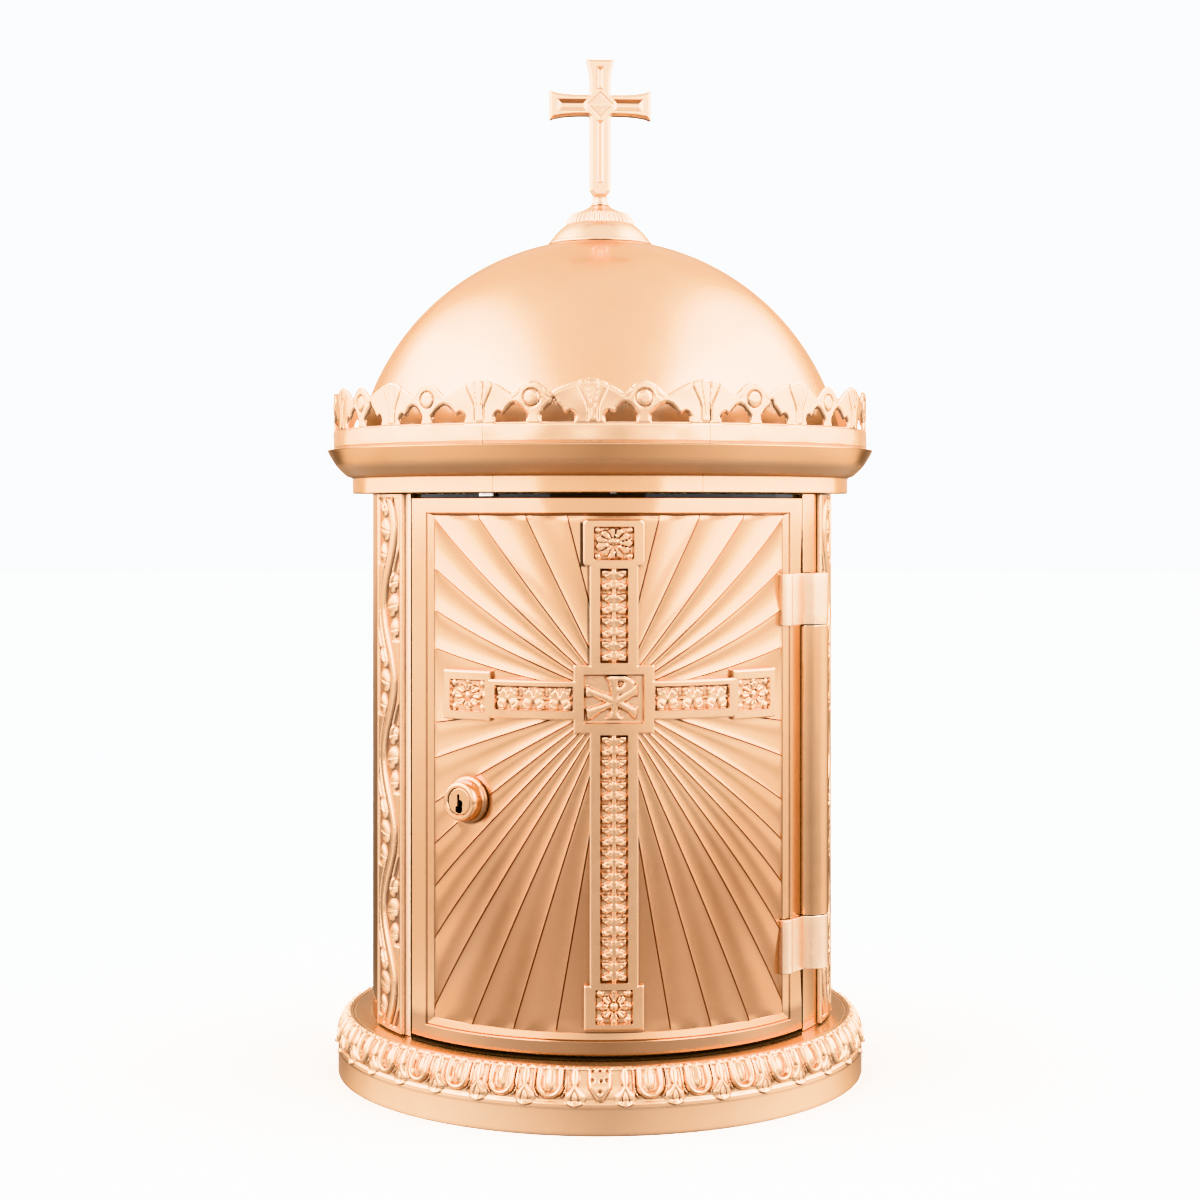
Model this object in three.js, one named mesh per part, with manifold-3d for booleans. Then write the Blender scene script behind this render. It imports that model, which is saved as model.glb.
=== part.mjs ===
// Round brass altar tabernacle: a turned base, a drum with a curved hinged door and key lock,
// a moulded cornice with a pierced crest, a dome and a cross finial.
// Millimetres, +Z up. The origin is on the axis, at the underside of the base. The door faces -Y.
// A polar angle phi is measured from -Y towards +X: x = r sin(phi), y = -r cos(phi).
import * as THREE from "three";
import { mergeVertices } from "three/addons/utils/BufferGeometryUtils.js";
import Module from "manifold-3d";

// ---- driving dimensions ----
const BASE_R = 130; // base fascia
const BASE_TOP_Z = 29.5;
const DRUM_R = 113; // outer face of the drum and of the door frame
const DRUM_WALL = 2.5;
const DRUM_Z0 = 29.8;
const DRUM_Z1 = 283.9;
const OPENING_PHI = 55.1; // half angle of the doorway
const DOOR_PHI = 54.5; // half angle of the door
const DOOR_Z0 = 31.4;
const DOOR_Z1 = 281.9;
const WINDOW_PHI = 46.6; // half angle of the sunburst field inside the frame
const WINDOW_Z0 = 41.5;
const WINDOW_Z1 = 273.5;
const PANEL_R = 111; // outer face of the sunburst panel
const PANEL_T = 1.2;
const BACK_R = 109.5; // outer face of the door's inner plate
const BACK_T = 1.5;
const STOP_R0 = 107.9; // door stops behind the jambs
const STOP_R1 = 110.2;
const HINGE_PHI = 58.5;
const HINGE_BARREL_R = 9.2;
const HINGE_BORE_R = 2.8;
const HINGE_PIN_R = 2.5;
const KNUCKLE_LOW = [59.8, 84.85];
const POST_Z = [85.15, 221.85];
const KNUCKLE_HIGH = [222.15, 246.3];
const LEAF_R0 = 113.4;
const LEAF_R1 = 115.2;
const LOCK_PHI = -35.7;
const LOCK_Z = 143.8;
const LOCK_FLANGE_R = 10.75;
const LOCK_FACE_R = 7.6;
const LOCK_PLUG_R = 6.1;
const KEYHOLE = [2.5, 10]; // width, height
const CAM_REACH = 42.5;
const CORNICE_Z0 = 284.2;
const CORNICE_Z1 = 305.5;
const CORNICE_R = 135.4;
const CREST_R1 = 132.5;
const CREST_R0 = 130.7;
const CREST_PANELS = 8;
const DOME_R = 122.2; // outer sphere of the dome
const DOME_CENTRE_Z = 288.7;
const DOME_WALL = 1.6;
const TANG_R = 2.2; // the cross's threaded tang
const CROSS_Z0 = 432.7;
const CROSS_Z1 = 501;
const CROSS_ARM = 25.3;
const CROSS_ARM_Z = 478.2;
const CROSS_T = 6;
const ROUND = 48; // sides of a large turned piece

const wasm = await Module();
wasm.setup();

const RAD = Math.PI / 180;
const polar = (r, phi) => [r * Math.sin(phi * RAD), -r * Math.cos(phi * RAD)];

// ---- solids ----
function solidOf(geometry) {
  const g = geometry.clone();
  for (const a of ["normal", "uv"]) g.deleteAttribute(a);
  const m = mergeVertices(g, 1e-3);
  const index = m.index.array;
  const build = (flip) => {
    const tri = [];
    for (let i = 0; i < index.length; i += 3) {
      const [a, b, c] = [index[i], index[i + 1], index[i + 2]];
      if (a === b || b === c || a === c) continue;
      if (flip) tri.push(a, c, b);
      else tri.push(a, b, c);
    }
    return new wasm.Manifold(
      new wasm.Mesh({
        numProp: 3,
        vertProperties: new Float32Array(m.attributes.position.array),
        triVerts: new Uint32Array(tri),
      }),
    );
  };
  const s = build(false);
  return s.volume() < 0 ? build(true) : s;
}

function geometryOf(solid) {
  const m = solid.getMesh();
  const n = m.numProp;
  const v = new Float32Array(m.numVert * 3);
  for (let i = 0; i < m.numVert; i++)
    v.set(m.vertProperties.subarray(i * n, i * n + 3), i * 3);
  const g = new THREE.BufferGeometry();
  g.setAttribute("position", new THREE.BufferAttribute(v, 3));
  g.setIndex(new THREE.BufferAttribute(new Uint32Array(m.triVerts), 1));
  g.computeVertexNormals();
  return g;
}

const join = (...s) => s.reduce((a, b) => a.add(b));
const cut = (s, ...tools) => tools.reduce((a, b) => a.subtract(b), s);

// A curved plate over a rising list of angles: a sector of a tube about the Z axis.
function plateOver(r0, r1, phis, z0, z1) {
  const pts = phis.map((phi) => new THREE.Vector2(...polar(r1, phi)));
  for (const phi of [...phis].reverse())
    pts.push(new THREE.Vector2(...polar(r0, phi)));
  const g = new THREE.ExtrudeGeometry(new THREE.Shape(pts), {
    depth: z1 - z0,
    bevelEnabled: false,
    steps: 1,
  });
  g.translate(0, 0, z0);
  return solidOf(g);
}

function arcPlate(r0, r1, phi0, phi1, z0, z1, step = 5.7) {
  const n = Math.max(1, Math.ceil((phi1 - phi0) / step));
  const phis = [];
  for (let i = 0; i <= n; i++) phis.push(phi0 + ((phi1 - phi0) * i) / n);
  return plateOver(r0, r1, phis, z0, z1);
}

// A turned ring from a closed (r, z) profile.
function turned(profile, sides = ROUND) {
  const pts = [...profile, profile[0]].map(([r, z]) => new THREE.Vector2(r, z));
  const g = new THREE.LatheGeometry(pts, sides);
  g.rotateX(Math.PI / 2);
  return solidOf(g);
}

// A cylinder along Z.
function pillar(r, z0, z1, x = 0, y = 0, sides = 16) {
  const g = new THREE.CylinderGeometry(r, r, z1 - z0, sides);
  g.rotateX(Math.PI / 2);
  g.translate(x, y, (z0 + z1) / 2);
  return solidOf(g);
}

// A cylinder along the radius at phi and z, from r0 to r1.
function radial(r, r0, r1, phi, z, sides = 12) {
  const g = new THREE.CylinderGeometry(r, r, r1 - r0, sides);
  g.rotateZ((phi + 180) * RAD);
  const [x, y] = polar((r0 + r1) / 2, phi);
  g.translate(x, y, z);
  return solidOf(g);
}

// A prism along the radius at phi: an outline in (s, z), where s runs along the arc towards +phi.
function radialPrism(outline, r0, r1, phi) {
  const shape = new THREE.Shape(outline.map(([s, z]) => new THREE.Vector2(s, z)));
  const g = new THREE.ExtrudeGeometry(shape, { depth: r1 - r0, bevelEnabled: false });
  g.rotateX(Math.PI / 2); // outline in XZ, depth towards -Y
  g.translate(0, -r0, 0);
  g.rotateZ(phi * RAD);
  return solidOf(g);
}

// ---- materials ----
const metal = (color, roughness) =>
  new THREE.MeshStandardMaterial({ color, roughness, metalness: 1 });
const BRASS = () => metal(0xe3a671, 0.22);
const BRASS_SATIN = () => metal(0xdda373, 0.38);
const BRASS_INSIDE = () => metal(0xd9a066, 0.45);
const STEEL = () => metal(0xa7a49e, 0.35);

const tabernacle = new THREE.Group();
const body = new THREE.Group();
const door = new THREE.Group();
tabernacle.add(body, door);

function put(group, name, solid, material) {
  const mesh = new THREE.Mesh(geometryOf(solid), material);
  mesh.name = name;
  group.add(mesh);
  return mesh;
}

const [HX, HY] = polar(DRUM_R, HINGE_PHI);

// ---- a screw: head then shank along +Z from the origin ----
function screw(headR, headH, shankR, shankL) {
  const pts = [
    [0, 0],
    [headR, headH * 0.2],
    [headR, headH],
    [shankR, headH],
    [shankR, headH + shankL],
    [0, headH + shankL],
  ].map(([r, z]) => new THREE.Vector2(r, z));
  const g = new THREE.LatheGeometry(pts, 8);
  g.rotateX(Math.PI / 2);
  const s = solidOf(g);
  const slot = new THREE.BoxGeometry(headR * 3, headR * 0.3, headH * 0.8);
  return cut(s, solidOf(slot));
}

// ---- base ----
const LEDGE_SCREW_R = 121.8;
const LEDGE_SCREW_PHI = [45, 135, 225, 315];
const ANCHOR_R = 70; // pitch radius of the anchor holes
const ANCHOR_HOLE_R = 4.5;
const ANCHOR_PHI = [45, 135, 225, 315];
{
  let ring = turned([
    [126.2, 0], [BASE_R, 0], [BASE_R, 13.2], [129.3, 19.5], [127.2, 25.2],
    [124, BASE_TOP_Z], [106.3, BASE_TOP_Z], [106.3, 26.2], [98, 26.2], [98, 23],
    [121.4, 23], [125.7, 14], [125.7, 6.7], [118, 6.7], [118, 3.4], [126.2, 3.4],
  ]);
  let plate = pillar(125.8, 0, 3, 0, 0, ROUND);
  let floor = pillar(105.9, 26.5, BASE_TOP_Z, 0, 0, ROUND);
  for (const phi of LEDGE_SCREW_PHI) {
    const [x, y] = polar(LEDGE_SCREW_R, phi);
    ring = cut(ring, pillar(1.95, 3, 7, x, y, 8));
    plate = cut(plate, pillar(3.4, -1, 1.7, x, y, 12), pillar(1.95, 1, 4, x, y, 8));
  }
  for (const phi of ANCHOR_PHI) {
    const [x, y] = polar(ANCHOR_R, phi);
    plate = cut(plate, pillar(ANCHOR_HOLE_R, -1, 4, x, y, 16));
    floor = cut(floor, pillar(ANCHOR_HOLE_R, 25, 31, x, y, 16));
  }
  put(body, "base_ring", ring, BRASS());
  put(body, "base_plate", plate, BRASS_SATIN());
  put(body, "floor_plate", floor, BRASS_INSIDE());
  const s = geometryOf(screw(3, 1.1, 1.6, 4.9));
  LEDGE_SCREW_PHI.forEach((phi, i) => {
    const m = new THREE.Mesh(s, STEEL());
    m.name = "base_screw_" + (i + 1);
    const [x, y] = polar(LEDGE_SCREW_R, phi);
    m.position.set(x, y, 0.3);
    body.add(m);
  });
}

// ---- drum, door stops, pilasters ----
const STRIKE_PHI = -57.3;
const STRIKE_SCREW_Z = [107.5, 160.5];
{
  let shell = arcPlate(
    DRUM_R - DRUM_WALL, DRUM_R, OPENING_PHI, 360 - OPENING_PHI, DRUM_Z0, DRUM_Z1,
  );
  shell = cut(shell, pillar(9.6, 59.3, 246.8, HX, HY, 32));
  put(body, "drum_shell", shell, BRASS());

  let left = arcPlate(STOP_R0, STOP_R1, -62, -52.6, 31.8, 280.6, 4.8);
  for (const z of STRIKE_SCREW_Z)
    left = cut(left, radial(1.8, 105, 112, STRIKE_PHI, z));
  put(body, "jamb_stop_left", left, BRASS_INSIDE());

  const right = cut(
    arcPlate(STOP_R0, STOP_R1, 52.6, 67, 31.8, 280.6, 4.8),
    pillar(9.8, 59.3, 246.8, HX, HY, 32),
    arcPlate(105, 112, 50, 60, 59.3, 246.8),
  );
  put(body, "jamb_stop_right", right, BRASS_INSIDE());

  put(body, "pilaster_left",
    arcPlate(DRUM_R + 0.3, 115.6, -72.2, -57.2, 30, 283.8, 3.75), BRASS());
  put(body, "pilaster_right",
    arcPlate(DRUM_R + 0.3, 115.6, 63.7, 78.7, 30, 283.8, 3.75), BRASS());

  // the keeper that the lock's cam turns behind
  let strike = arcPlate(106.4, 107.6, -61.4, -53.2, 103, 165, 4.2);
  for (const z of STRIKE_SCREW_Z)
    strike = cut(strike, radial(1.8, 105, 112, STRIKE_PHI, z));
  put(body, "strike_plate", strike, STEEL());
  const s = geometryOf(screw(2.8, 1.5, 1.4, 3.8));
  STRIKE_SCREW_Z.forEach((z, i) => {
    const m = new THREE.Mesh(s, STEEL());
    m.name = "strike_screw_" + (i + 1);
    const [x, y] = polar(104.5, STRIKE_PHI);
    m.position.set(x, y, z);
    // its +Z turned to the outward radius
    m.quaternion.setFromUnitVectors(
      new THREE.Vector3(0, 0, 1),
      new THREE.Vector3(...polar(1, STRIKE_PHI), 0),
    );
    body.add(m);
  });
}

// ---- ceiling and cornice ----
const CEILING_SCREW_R = 106.5;
const CEILING_SCREW_PHI = [0, 90, 180, 270];
{
  let ceiling = pillar(110.1, 281.2, 283.6, 0, 0, ROUND);
  let cornice = turned([
    [104, CORNICE_Z0], [123, CORNICE_Z0], [123, 291.5], [126.4, 293.4],
    [130.3, 297], [133.2, 301.2], [135, 304.2], [CORNICE_R, CORNICE_Z1],
    [104, CORNICE_Z1], [104, 302.6], [130, 302.6], [121, 294.6], [120, 287.2],
    [104, 287.2],
  ]);
  for (const phi of CEILING_SCREW_PHI) {
    const [x, y] = polar(CEILING_SCREW_R, phi);
    ceiling = cut(ceiling, pillar(2, 280, 285, x, y, 8));
    cornice = cut(cornice, pillar(2, 283, 288, x, y, 8));
  }
  put(body, "ceiling_plate", ceiling, BRASS_INSIDE());
  put(body, "cornice_ring", cornice, BRASS());
  const s = geometryOf(screw(2.9, 1.6, 1.7, 7));
  CEILING_SCREW_PHI.forEach((phi, i) => {
    const m = new THREE.Mesh(s, STEEL());
    m.name = "ceiling_screw_" + (i + 1);
    const [x, y] = polar(CEILING_SCREW_R, phi);
    m.position.set(x, y, 279.3);
    body.add(m);
  });
}

// ---- crest: eight cast panels of pierced strapwork ----
{
  const half = 180 / CREST_PANELS;
  let panel = arcPlate(CREST_R0, CREST_R1, -half + 0.09, half - 0.09, 305.9, 334.4, 5.6);
  const gap = [
    [-5.6, 314.3], [5.6, 314.3], [5.6, 317.6], [2.6, 322.6], [-2.6, 322.6], [-5.6, 317.6],
  ];
  for (const centre of [-half / 2, half / 2])
    for (const side of [-1, 1])
      panel = cut(panel, radialPrism(gap, 128, 135, centre + side * 3.4));
  const notch = [[-3.4, 336], [0, 329.4], [3.4, 336]];
  for (const at of [-17, -5.5, 5.5, 17])
    panel = cut(panel, radialPrism(notch, 128, 135, at));
  const g = geometryOf(panel);
  for (let i = 0; i < CREST_PANELS; i++) {
    const m = new THREE.Mesh(g, BRASS_SATIN());
    m.name = "crest_panel_" + (i + 1);
    m.rotation.z = (-4 + i * 2 * half) * RAD;
    body.add(m);
  }
}

// ---- dome and finial ----
{
  const sphere = (R, from, to, n) => {
    const pts = [];
    for (let i = 0; i <= n; i++) {
      const a = from + ((to - from) * i) / n;
      pts.push([R * Math.cos(a), DOME_CENTRE_Z + R * Math.sin(a)]);
    }
    return pts;
  };
  const inner = DOME_R - DOME_WALL;
  const hole = 2.7;
  const foot = 305.8 - DOME_CENTRE_Z;
  put(
    body,
    "dome_shell",
    turned(
      [
        ...sphere(DOME_R, Math.asin(foot / DOME_R), Math.acos(hole / DOME_R), 9),
        ...sphere(inner, Math.acos(hole / inner), Math.asin(foot / inner), 7),
      ],
      36,
    ),
    BRASS_SATIN(),
  );
  put(
    body,
    "finial_cap",
    turned(
      [
        [2.5, 411.3], [14, 410.5], [25.8, 408.5], [25.4, 409.6], [22.5, 413.2],
        [16.5, 418.7], [14.6, 423.4], [9.2, 425.4], [4.4, 428.2], [2.5, 428.2],
      ],
      24,
    ),
    BRASS(),
  );
  put(
    body,
    "finial_collar",
    turned([[2.5, 428.5], [4.6, 428.5], [3.9, 429.6], [3.9, 431.4], [4.6, 432.4], [2.5, 432.4]], 16),
    BRASS(),
  );

  const half = [
    [3.4, CROSS_Z0], [5.15, 435.5], [5.15, 473], [18, 472.7],
    [CROSS_ARM, 470.7], [CROSS_ARM, 485.7], [18, 483.7], [5.15, 483.4],
    [5.15, 494], [6.9, CROSS_Z1],
  ];
  const outline = [...half, ...half.map(([x, z]) => [-x, z]).reverse()];
  const g = new THREE.ExtrudeGeometry(
    new THREE.Shape(outline.map(([x, z]) => new THREE.Vector2(x, z))),
    { depth: CROSS_T, bevelEnabled: false },
  );
  g.translate(0, 0, -CROSS_T / 2);
  g.rotateX(Math.PI / 2);
  // the sunk grooves along the arms, front and back, with a raised diamond left at the crossing
  const groove = (x0, x1, z0, z1, front) => {
    const b = new THREE.BoxGeometry(x1 - x0, 1.6, z1 - z0);
    b.translate((x0 + x1) / 2, front ? -CROSS_T / 2 : CROSS_T / 2, (z0 + z1) / 2);
    return solidOf(b);
  };
  let cross = join(solidOf(g), pillar(TANG_R, 401.6, 436, 0, 0, 16));
  for (const front of [true, false])
    cross = cut(
      cross,
      groove(-2.3, 2.3, 440, 470, front),
      groove(-2.3, 2.3, 486.5, 497, front),
      groove(-21.5, -8.5, 475.9, 480.5, front),
      groove(8.5, 21.5, 475.9, 480.5, front),
    );
  const gem = new THREE.OctahedronGeometry(5.5);
  gem.scale(1, 0.75, 1);
  gem.translate(0, 0, CROSS_ARM_Z);
  cross = join(cross, solidOf(gem));
  put(body, "cross", cross, BRASS());

  put(body, "finial_washer",
    turned([[2.6, 407.3], [7.5, 407.3], [7.5, 408.5], [2.6, 408.5]], 16), STEEL());
  put(body, "finial_nut",
    cut(pillar(5.5, 402.8, 407, 0, 0, 6), pillar(2.5, 402, 408, 0, 0, 16)), STEEL());
}

// ---- hinge: a long fixed tube on the drum, a through pin, and two knuckles with leaves on the door ----
const HINGE_SCREW_PHI = 48.9;
const HINGE_SCREW_Z = [66, 78.5, 228, 240.5];
{
  const tube = (z0, z1, sides = 32) =>
    cut(pillar(HINGE_BARREL_R, z0, z1, HX, HY, sides),
      pillar(HINGE_BORE_R, z0 - 1, z1 + 1, HX, HY, 16));
  put(body, "hinge_post", tube(...POST_Z), BRASS());
  put(body, "hinge_pin", pillar(HINGE_PIN_R, 60.4, 245.7, HX, HY, 16), STEEL());
  for (const [name, [z0, z1]] of [
    ["hinge_knuckle_lower", KNUCKLE_LOW],
    ["hinge_knuckle_upper", KNUCKLE_HIGH],
  ]) {
    let k = join(
      pillar(HINGE_BARREL_R, z0, z1, HX, HY, 32),
      arcPlate(LEAF_R0, LEAF_R1, 45.5, 56, z0, z1, 3.5),
    );
    k = cut(k, pillar(HINGE_BORE_R, z0 - 1, z1 + 1, HX, HY, 16));
    for (const z of HINGE_SCREW_Z)
      if (z > z0 && z < z1) k = cut(k, radial(1.9, 112, 114.5, HINGE_SCREW_PHI, z));
    put(door, name, k, BRASS());
  }
}

// ---- door: rebated frame, sunburst panel, relief cross, inner plate ----
{
  const lockHole = (r) => radial(r, 100, 120, LOCK_PHI, LOCK_Z, 24);
  const screwHoles = HINGE_SCREW_Z.map((z) => radial(1.9, 104, 114, HINGE_SCREW_PHI, z));
  const clear = pillar(9.8, 59.3, 246.8, HX, HY, 32);

  put(
    door,
    "door_frame",
    cut(
      arcPlate(DRUM_R - DRUM_WALL, DRUM_R, -DOOR_PHI, DOOR_PHI, DOOR_Z0, DOOR_Z1),
      arcPlate(109, 115, -WINDOW_PHI, WINDOW_PHI, WINDOW_Z0, WINDOW_Z1),
      arcPlate(109, PANEL_R + 0.3, -52.2, 52.2, 33.8, 278.8),
      clear,
      ...screwHoles,
    ),
    BRASS(),
  );
  put(
    door,
    "door_panel",
    cut(arcPlate(PANEL_R - PANEL_T, PANEL_R, -52, 52, 34, 278.5), lockHole(8.4), ...screwHoles),
    BRASS_SATIN(),
  );
  put(
    door,
    "door_back_plate",
    cut(arcPlate(BACK_R - BACK_T, BACK_R, -50.9, 50.9, 36, 277), lockHole(8.4), ...screwHoles),
    BRASS_INSIDE(),
  );

  // the relief cross, as plates by their half width along the arc
  const u = (mm) => (mm / DRUM_R) / RAD;
  const edges = [10.85, 13.4, 13.8, 18.1, 27, 37, 47, 57.5, 60, 66, 75, 83.6];
  const grid = [...edges.map((s) => -s).reverse(), 0, ...edges];
  const plate = (s0, s1, z0, z1) =>
    plateOver(PANEL_R + 0.3, 114.2, grid.filter((s) => s >= s0 && s <= s1).map(u), z0, z1);
  put(
    door,
    "door_cross",
    join(
      plate(-10.85, 10.85, 44, 271),
      plate(-13.8, 13.8, 251, 272),
      plate(-13.4, 13.4, 43.1, 62.9),
      plate(-18.1, 18.1, 175.9, 206.5),
      plate(-60, 60, 182, 199.5),
      plate(-83.6, -57.5, 180.5, 203),
      plate(57.5, 83.6, 180.5, 203),
    ),
    BRASS(),
  );

  const s = geometryOf(screw(3.4, 2, 1.6, 6.6));
  HINGE_SCREW_Z.forEach((z, i) => {
    const m = new THREE.Mesh(s, STEEL());
    m.name = "hinge_screw_" + (i + 1);
    const [x, y] = polar(105.6, HINGE_SCREW_PHI);
    m.position.set(x, y, z);
    m.quaternion.setFromUnitVectors(
      new THREE.Vector3(0, 0, 1),
      new THREE.Vector3(...polar(1, HINGE_SCREW_PHI), 0),
    );
    door.add(m);
  });
}

// ---- cam lock: in its own frame, +Y outward along the lock's axis, +X towards the left jamb ----
const lockFrame = new THREE.Group();
lockFrame.position.set(0, 0, LOCK_Z);
lockFrame.rotation.z = (LOCK_PHI + 180) * RAD;
door.add(lockFrame);
const lockTurn = new THREE.Group();
lockFrame.add(lockTurn);
{
  const about = (profile, sides) => {
    const pts = [...profile, profile[0]].map(([r, y]) => new THREE.Vector2(r, y));
    return solidOf(new THREE.LatheGeometry(pts, sides));
  };
  const rod = (r, y0, y1, sides) => {
    const g = new THREE.CylinderGeometry(r, r, y1 - y0, sides);
    g.translate(0, (y0 + y1) / 2, 0);
    return solidOf(g);
  };
  put(
    lockFrame,
    "lock_housing",
    about(
      [
        [6.4, 100.5], [8, 100.5], [8, 111.4], [LOCK_FLANGE_R, 111.4],
        [LOCK_FLANGE_R, 113], [LOCK_FACE_R + 0.4, 114.4],
        [LOCK_FACE_R, 119], [7, 119.6], [6.4, 119.6],
      ],
      24,
    ),
    BRASS(),
  );
  put(lockFrame, "lock_nut", cut(rod(11, 102.8, 106.8, 6), rod(8.3, 102, 108, 24)), STEEL());

  const slot = new THREE.BoxGeometry(KEYHOLE[0], 7, KEYHOLE[1]);
  slot.translate(0, 119.2 - 3, 0);
  put(
    lockTurn,
    "lock_plug",
    cut(rod(LOCK_PLUG_R, 97.2, 119.2, 24), solidOf(slot), rod(2.2, 96, 103.5, 12)),
    BRASS(),
  );

  // the cam hangs down at rest and points at the left jamb when locked
  const hub = 7;
  const w = 4.5;
  const arm = new THREE.Shape();
  arm.moveTo(-w, -Math.sqrt(hub * hub - w * w));
  arm.absarc(0, 0, hub, Math.atan2(-Math.sqrt(hub * hub - w * w), -w),
    Math.atan2(-Math.sqrt(hub * hub - w * w), w) , true);
  arm.lineTo(w, -CAM_REACH + 3);
  arm.lineTo(w - 2, -CAM_REACH);
  arm.lineTo(-w + 2, -CAM_REACH);
  arm.lineTo(-w, -CAM_REACH + 3);
  const cam = new THREE.ExtrudeGeometry(arm, { depth: 2, bevelEnabled: false, curveSegments: 14 });
  cam.rotateX(Math.PI / 2); // outline in XZ, depth towards -Y
  cam.translate(0, 96.9, 0);
  put(lockTurn, "lock_cam", cut(solidOf(cam), rod(2.3, 94, 98, 12)), STEEL());

  const s = geometryOf(screw(4.2, 2.2, 1.9, 7.5));
  const m = new THREE.Mesh(s, STEEL());
  m.name = "cam_screw";
  m.rotation.x = -Math.PI / 2; // its +Z turned to +Y
  m.position.set(0, 92.3, 0);
  lockTurn.add(m);
}

export default tabernacle;
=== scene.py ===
import math

import bpy
import numpy as np
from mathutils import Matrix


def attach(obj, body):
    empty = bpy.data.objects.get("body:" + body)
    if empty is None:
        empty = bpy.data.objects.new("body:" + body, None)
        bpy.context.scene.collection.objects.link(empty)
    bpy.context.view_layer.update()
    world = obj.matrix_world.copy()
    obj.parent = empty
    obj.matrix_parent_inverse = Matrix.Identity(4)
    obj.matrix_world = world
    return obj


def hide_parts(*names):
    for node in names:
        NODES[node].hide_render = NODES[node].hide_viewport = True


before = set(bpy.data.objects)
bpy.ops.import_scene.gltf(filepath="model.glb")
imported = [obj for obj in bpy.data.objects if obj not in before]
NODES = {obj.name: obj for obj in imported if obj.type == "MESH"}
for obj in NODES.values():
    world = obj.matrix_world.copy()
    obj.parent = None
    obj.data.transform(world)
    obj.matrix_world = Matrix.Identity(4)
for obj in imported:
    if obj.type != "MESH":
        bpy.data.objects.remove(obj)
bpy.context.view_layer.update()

RAD = math.pi / 180.0
UR = 113.0  # radius on which arc lengths u are measured

# ---------------------------------------------------------------- camera
cam_data = bpy.data.cameras.new("camera")
cam = bpy.data.objects.new("camera", cam_data)
bpy.context.scene.collection.objects.link(cam)
CAM_PHI = -3.2 * RAD
CAM_D = 1.092
cam.location = (CAM_D * math.sin(CAM_PHI), -CAM_D * math.cos(CAM_PHI), 0.2762)
cam.rotation_euler = (math.pi / 2, 0.0, CAM_PHI)
cam_data.sensor_width = 36.0
cam_data.lens = 65.52
cam_data.shift_y = -0.075
cam_data.clip_start = 0.05
cam_data.clip_end = 60.0
bpy.context.scene.camera = cam


# ---------------------------------------------------------------- mesh tools
def make_mesh(name, verts, faces, sharp=32.0, smooth=True):
    """A mesh object from vertices in mm and a list of index arrays, one for each face size."""
    verts = np.asarray(verts, float)
    sizes, loops = [], []
    for f in faces:
        f = np.asarray(f, np.int32)
        if f.size == 0:
            continue
        if f.ndim == 1:
            f = f[None, :]
        sizes.append(np.full(len(f), f.shape[1], np.int32))
        loops.append(f.ravel())
    sizes = np.concatenate(sizes)
    loops = np.concatenate(loops)
    me = bpy.data.meshes.new(name)
    me.vertices.add(len(verts))
    me.vertices.foreach_set("co", (verts * 0.001).astype(np.float32).ravel())
    me.loops.add(len(loops))
    me.loops.foreach_set("vertex_index", loops)
    me.polygons.add(len(sizes))
    starts = np.concatenate([[0], np.cumsum(sizes)[:-1]]).astype(np.int32)
    me.polygons.foreach_set("loop_start", starts)
    me.update(calc_edges=True)
    me.validate()
    if smooth:
        me.shade_smooth()
        me.set_sharp_from_angle(angle=sharp * RAD)
    ob = bpy.data.objects.new(name, me)
    bpy.context.scene.collection.objects.link(ob)
    if smooth:
        # flat faces stay flat in the shading beside their rounded edges
        flat = ob.modifiers.new("face_weighted", "WEIGHTED_NORMAL")
        flat.mode = "FACE_AREA"
        flat.weight = 60
        flat.keep_sharp = True
    return ob


def grid_faces(rows, cols, close_rows=False, close_cols=False, base=0):
    """Quads of a rows x cols grid of vertices, row-major. Rows go up, columns go to the right."""
    r = np.arange(rows if close_rows else rows - 1)
    c = np.arange(cols if close_cols else cols - 1)
    R, C = np.meshgrid(r, c, indexing="ij")
    R1, C1 = (R + 1) % rows, (C + 1) % cols
    f = np.stack([R * cols + C, R * cols + C1, R1 * cols + C1, R1 * cols + C], -1)
    return f.reshape(-1, 4) + base


def polar(r, phi, z):
    """Points from radius, angle in degrees and height."""
    r, phi, z = np.broadcast_arrays(np.asarray(r, float), np.asarray(phi, float) * RAD, np.asarray(z, float))
    return np.stack([r * np.sin(phi), -r * np.cos(phi), z], -1)


def finish_piece(ob, body, node, mat):
    ob.data.materials.clear()
    ob.data.materials.append(mat)
    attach(ob, body)
    names = [node] if isinstance(node, str) else list(node or [])
    if names:
        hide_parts(*names)
    return ob


def revolve(name, profile, n=256, sharp=32.0, shape=None, centre=(0.0, 0.0)):
    """A turned ring. profile: closed list of (r, z), anticlockwise with r to the right and z up."""
    prof = np.asarray(profile, float)
    phis = np.arange(n) * 360.0 / n
    R = np.repeat(prof[:, 0][:, None], n, 1)
    Z = np.repeat(prof[:, 1][:, None], n, 1)
    if shape is not None:
        R, Z = shape(R, Z, np.broadcast_to(phis, R.shape))
    v = polar(R, phis[None, :], Z)
    v[..., 0] += centre[0]
    v[..., 1] += centre[1]
    return make_mesh(name, v.reshape(-1, 3), [grid_faces(len(prof), n, True, True)], sharp)


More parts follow.
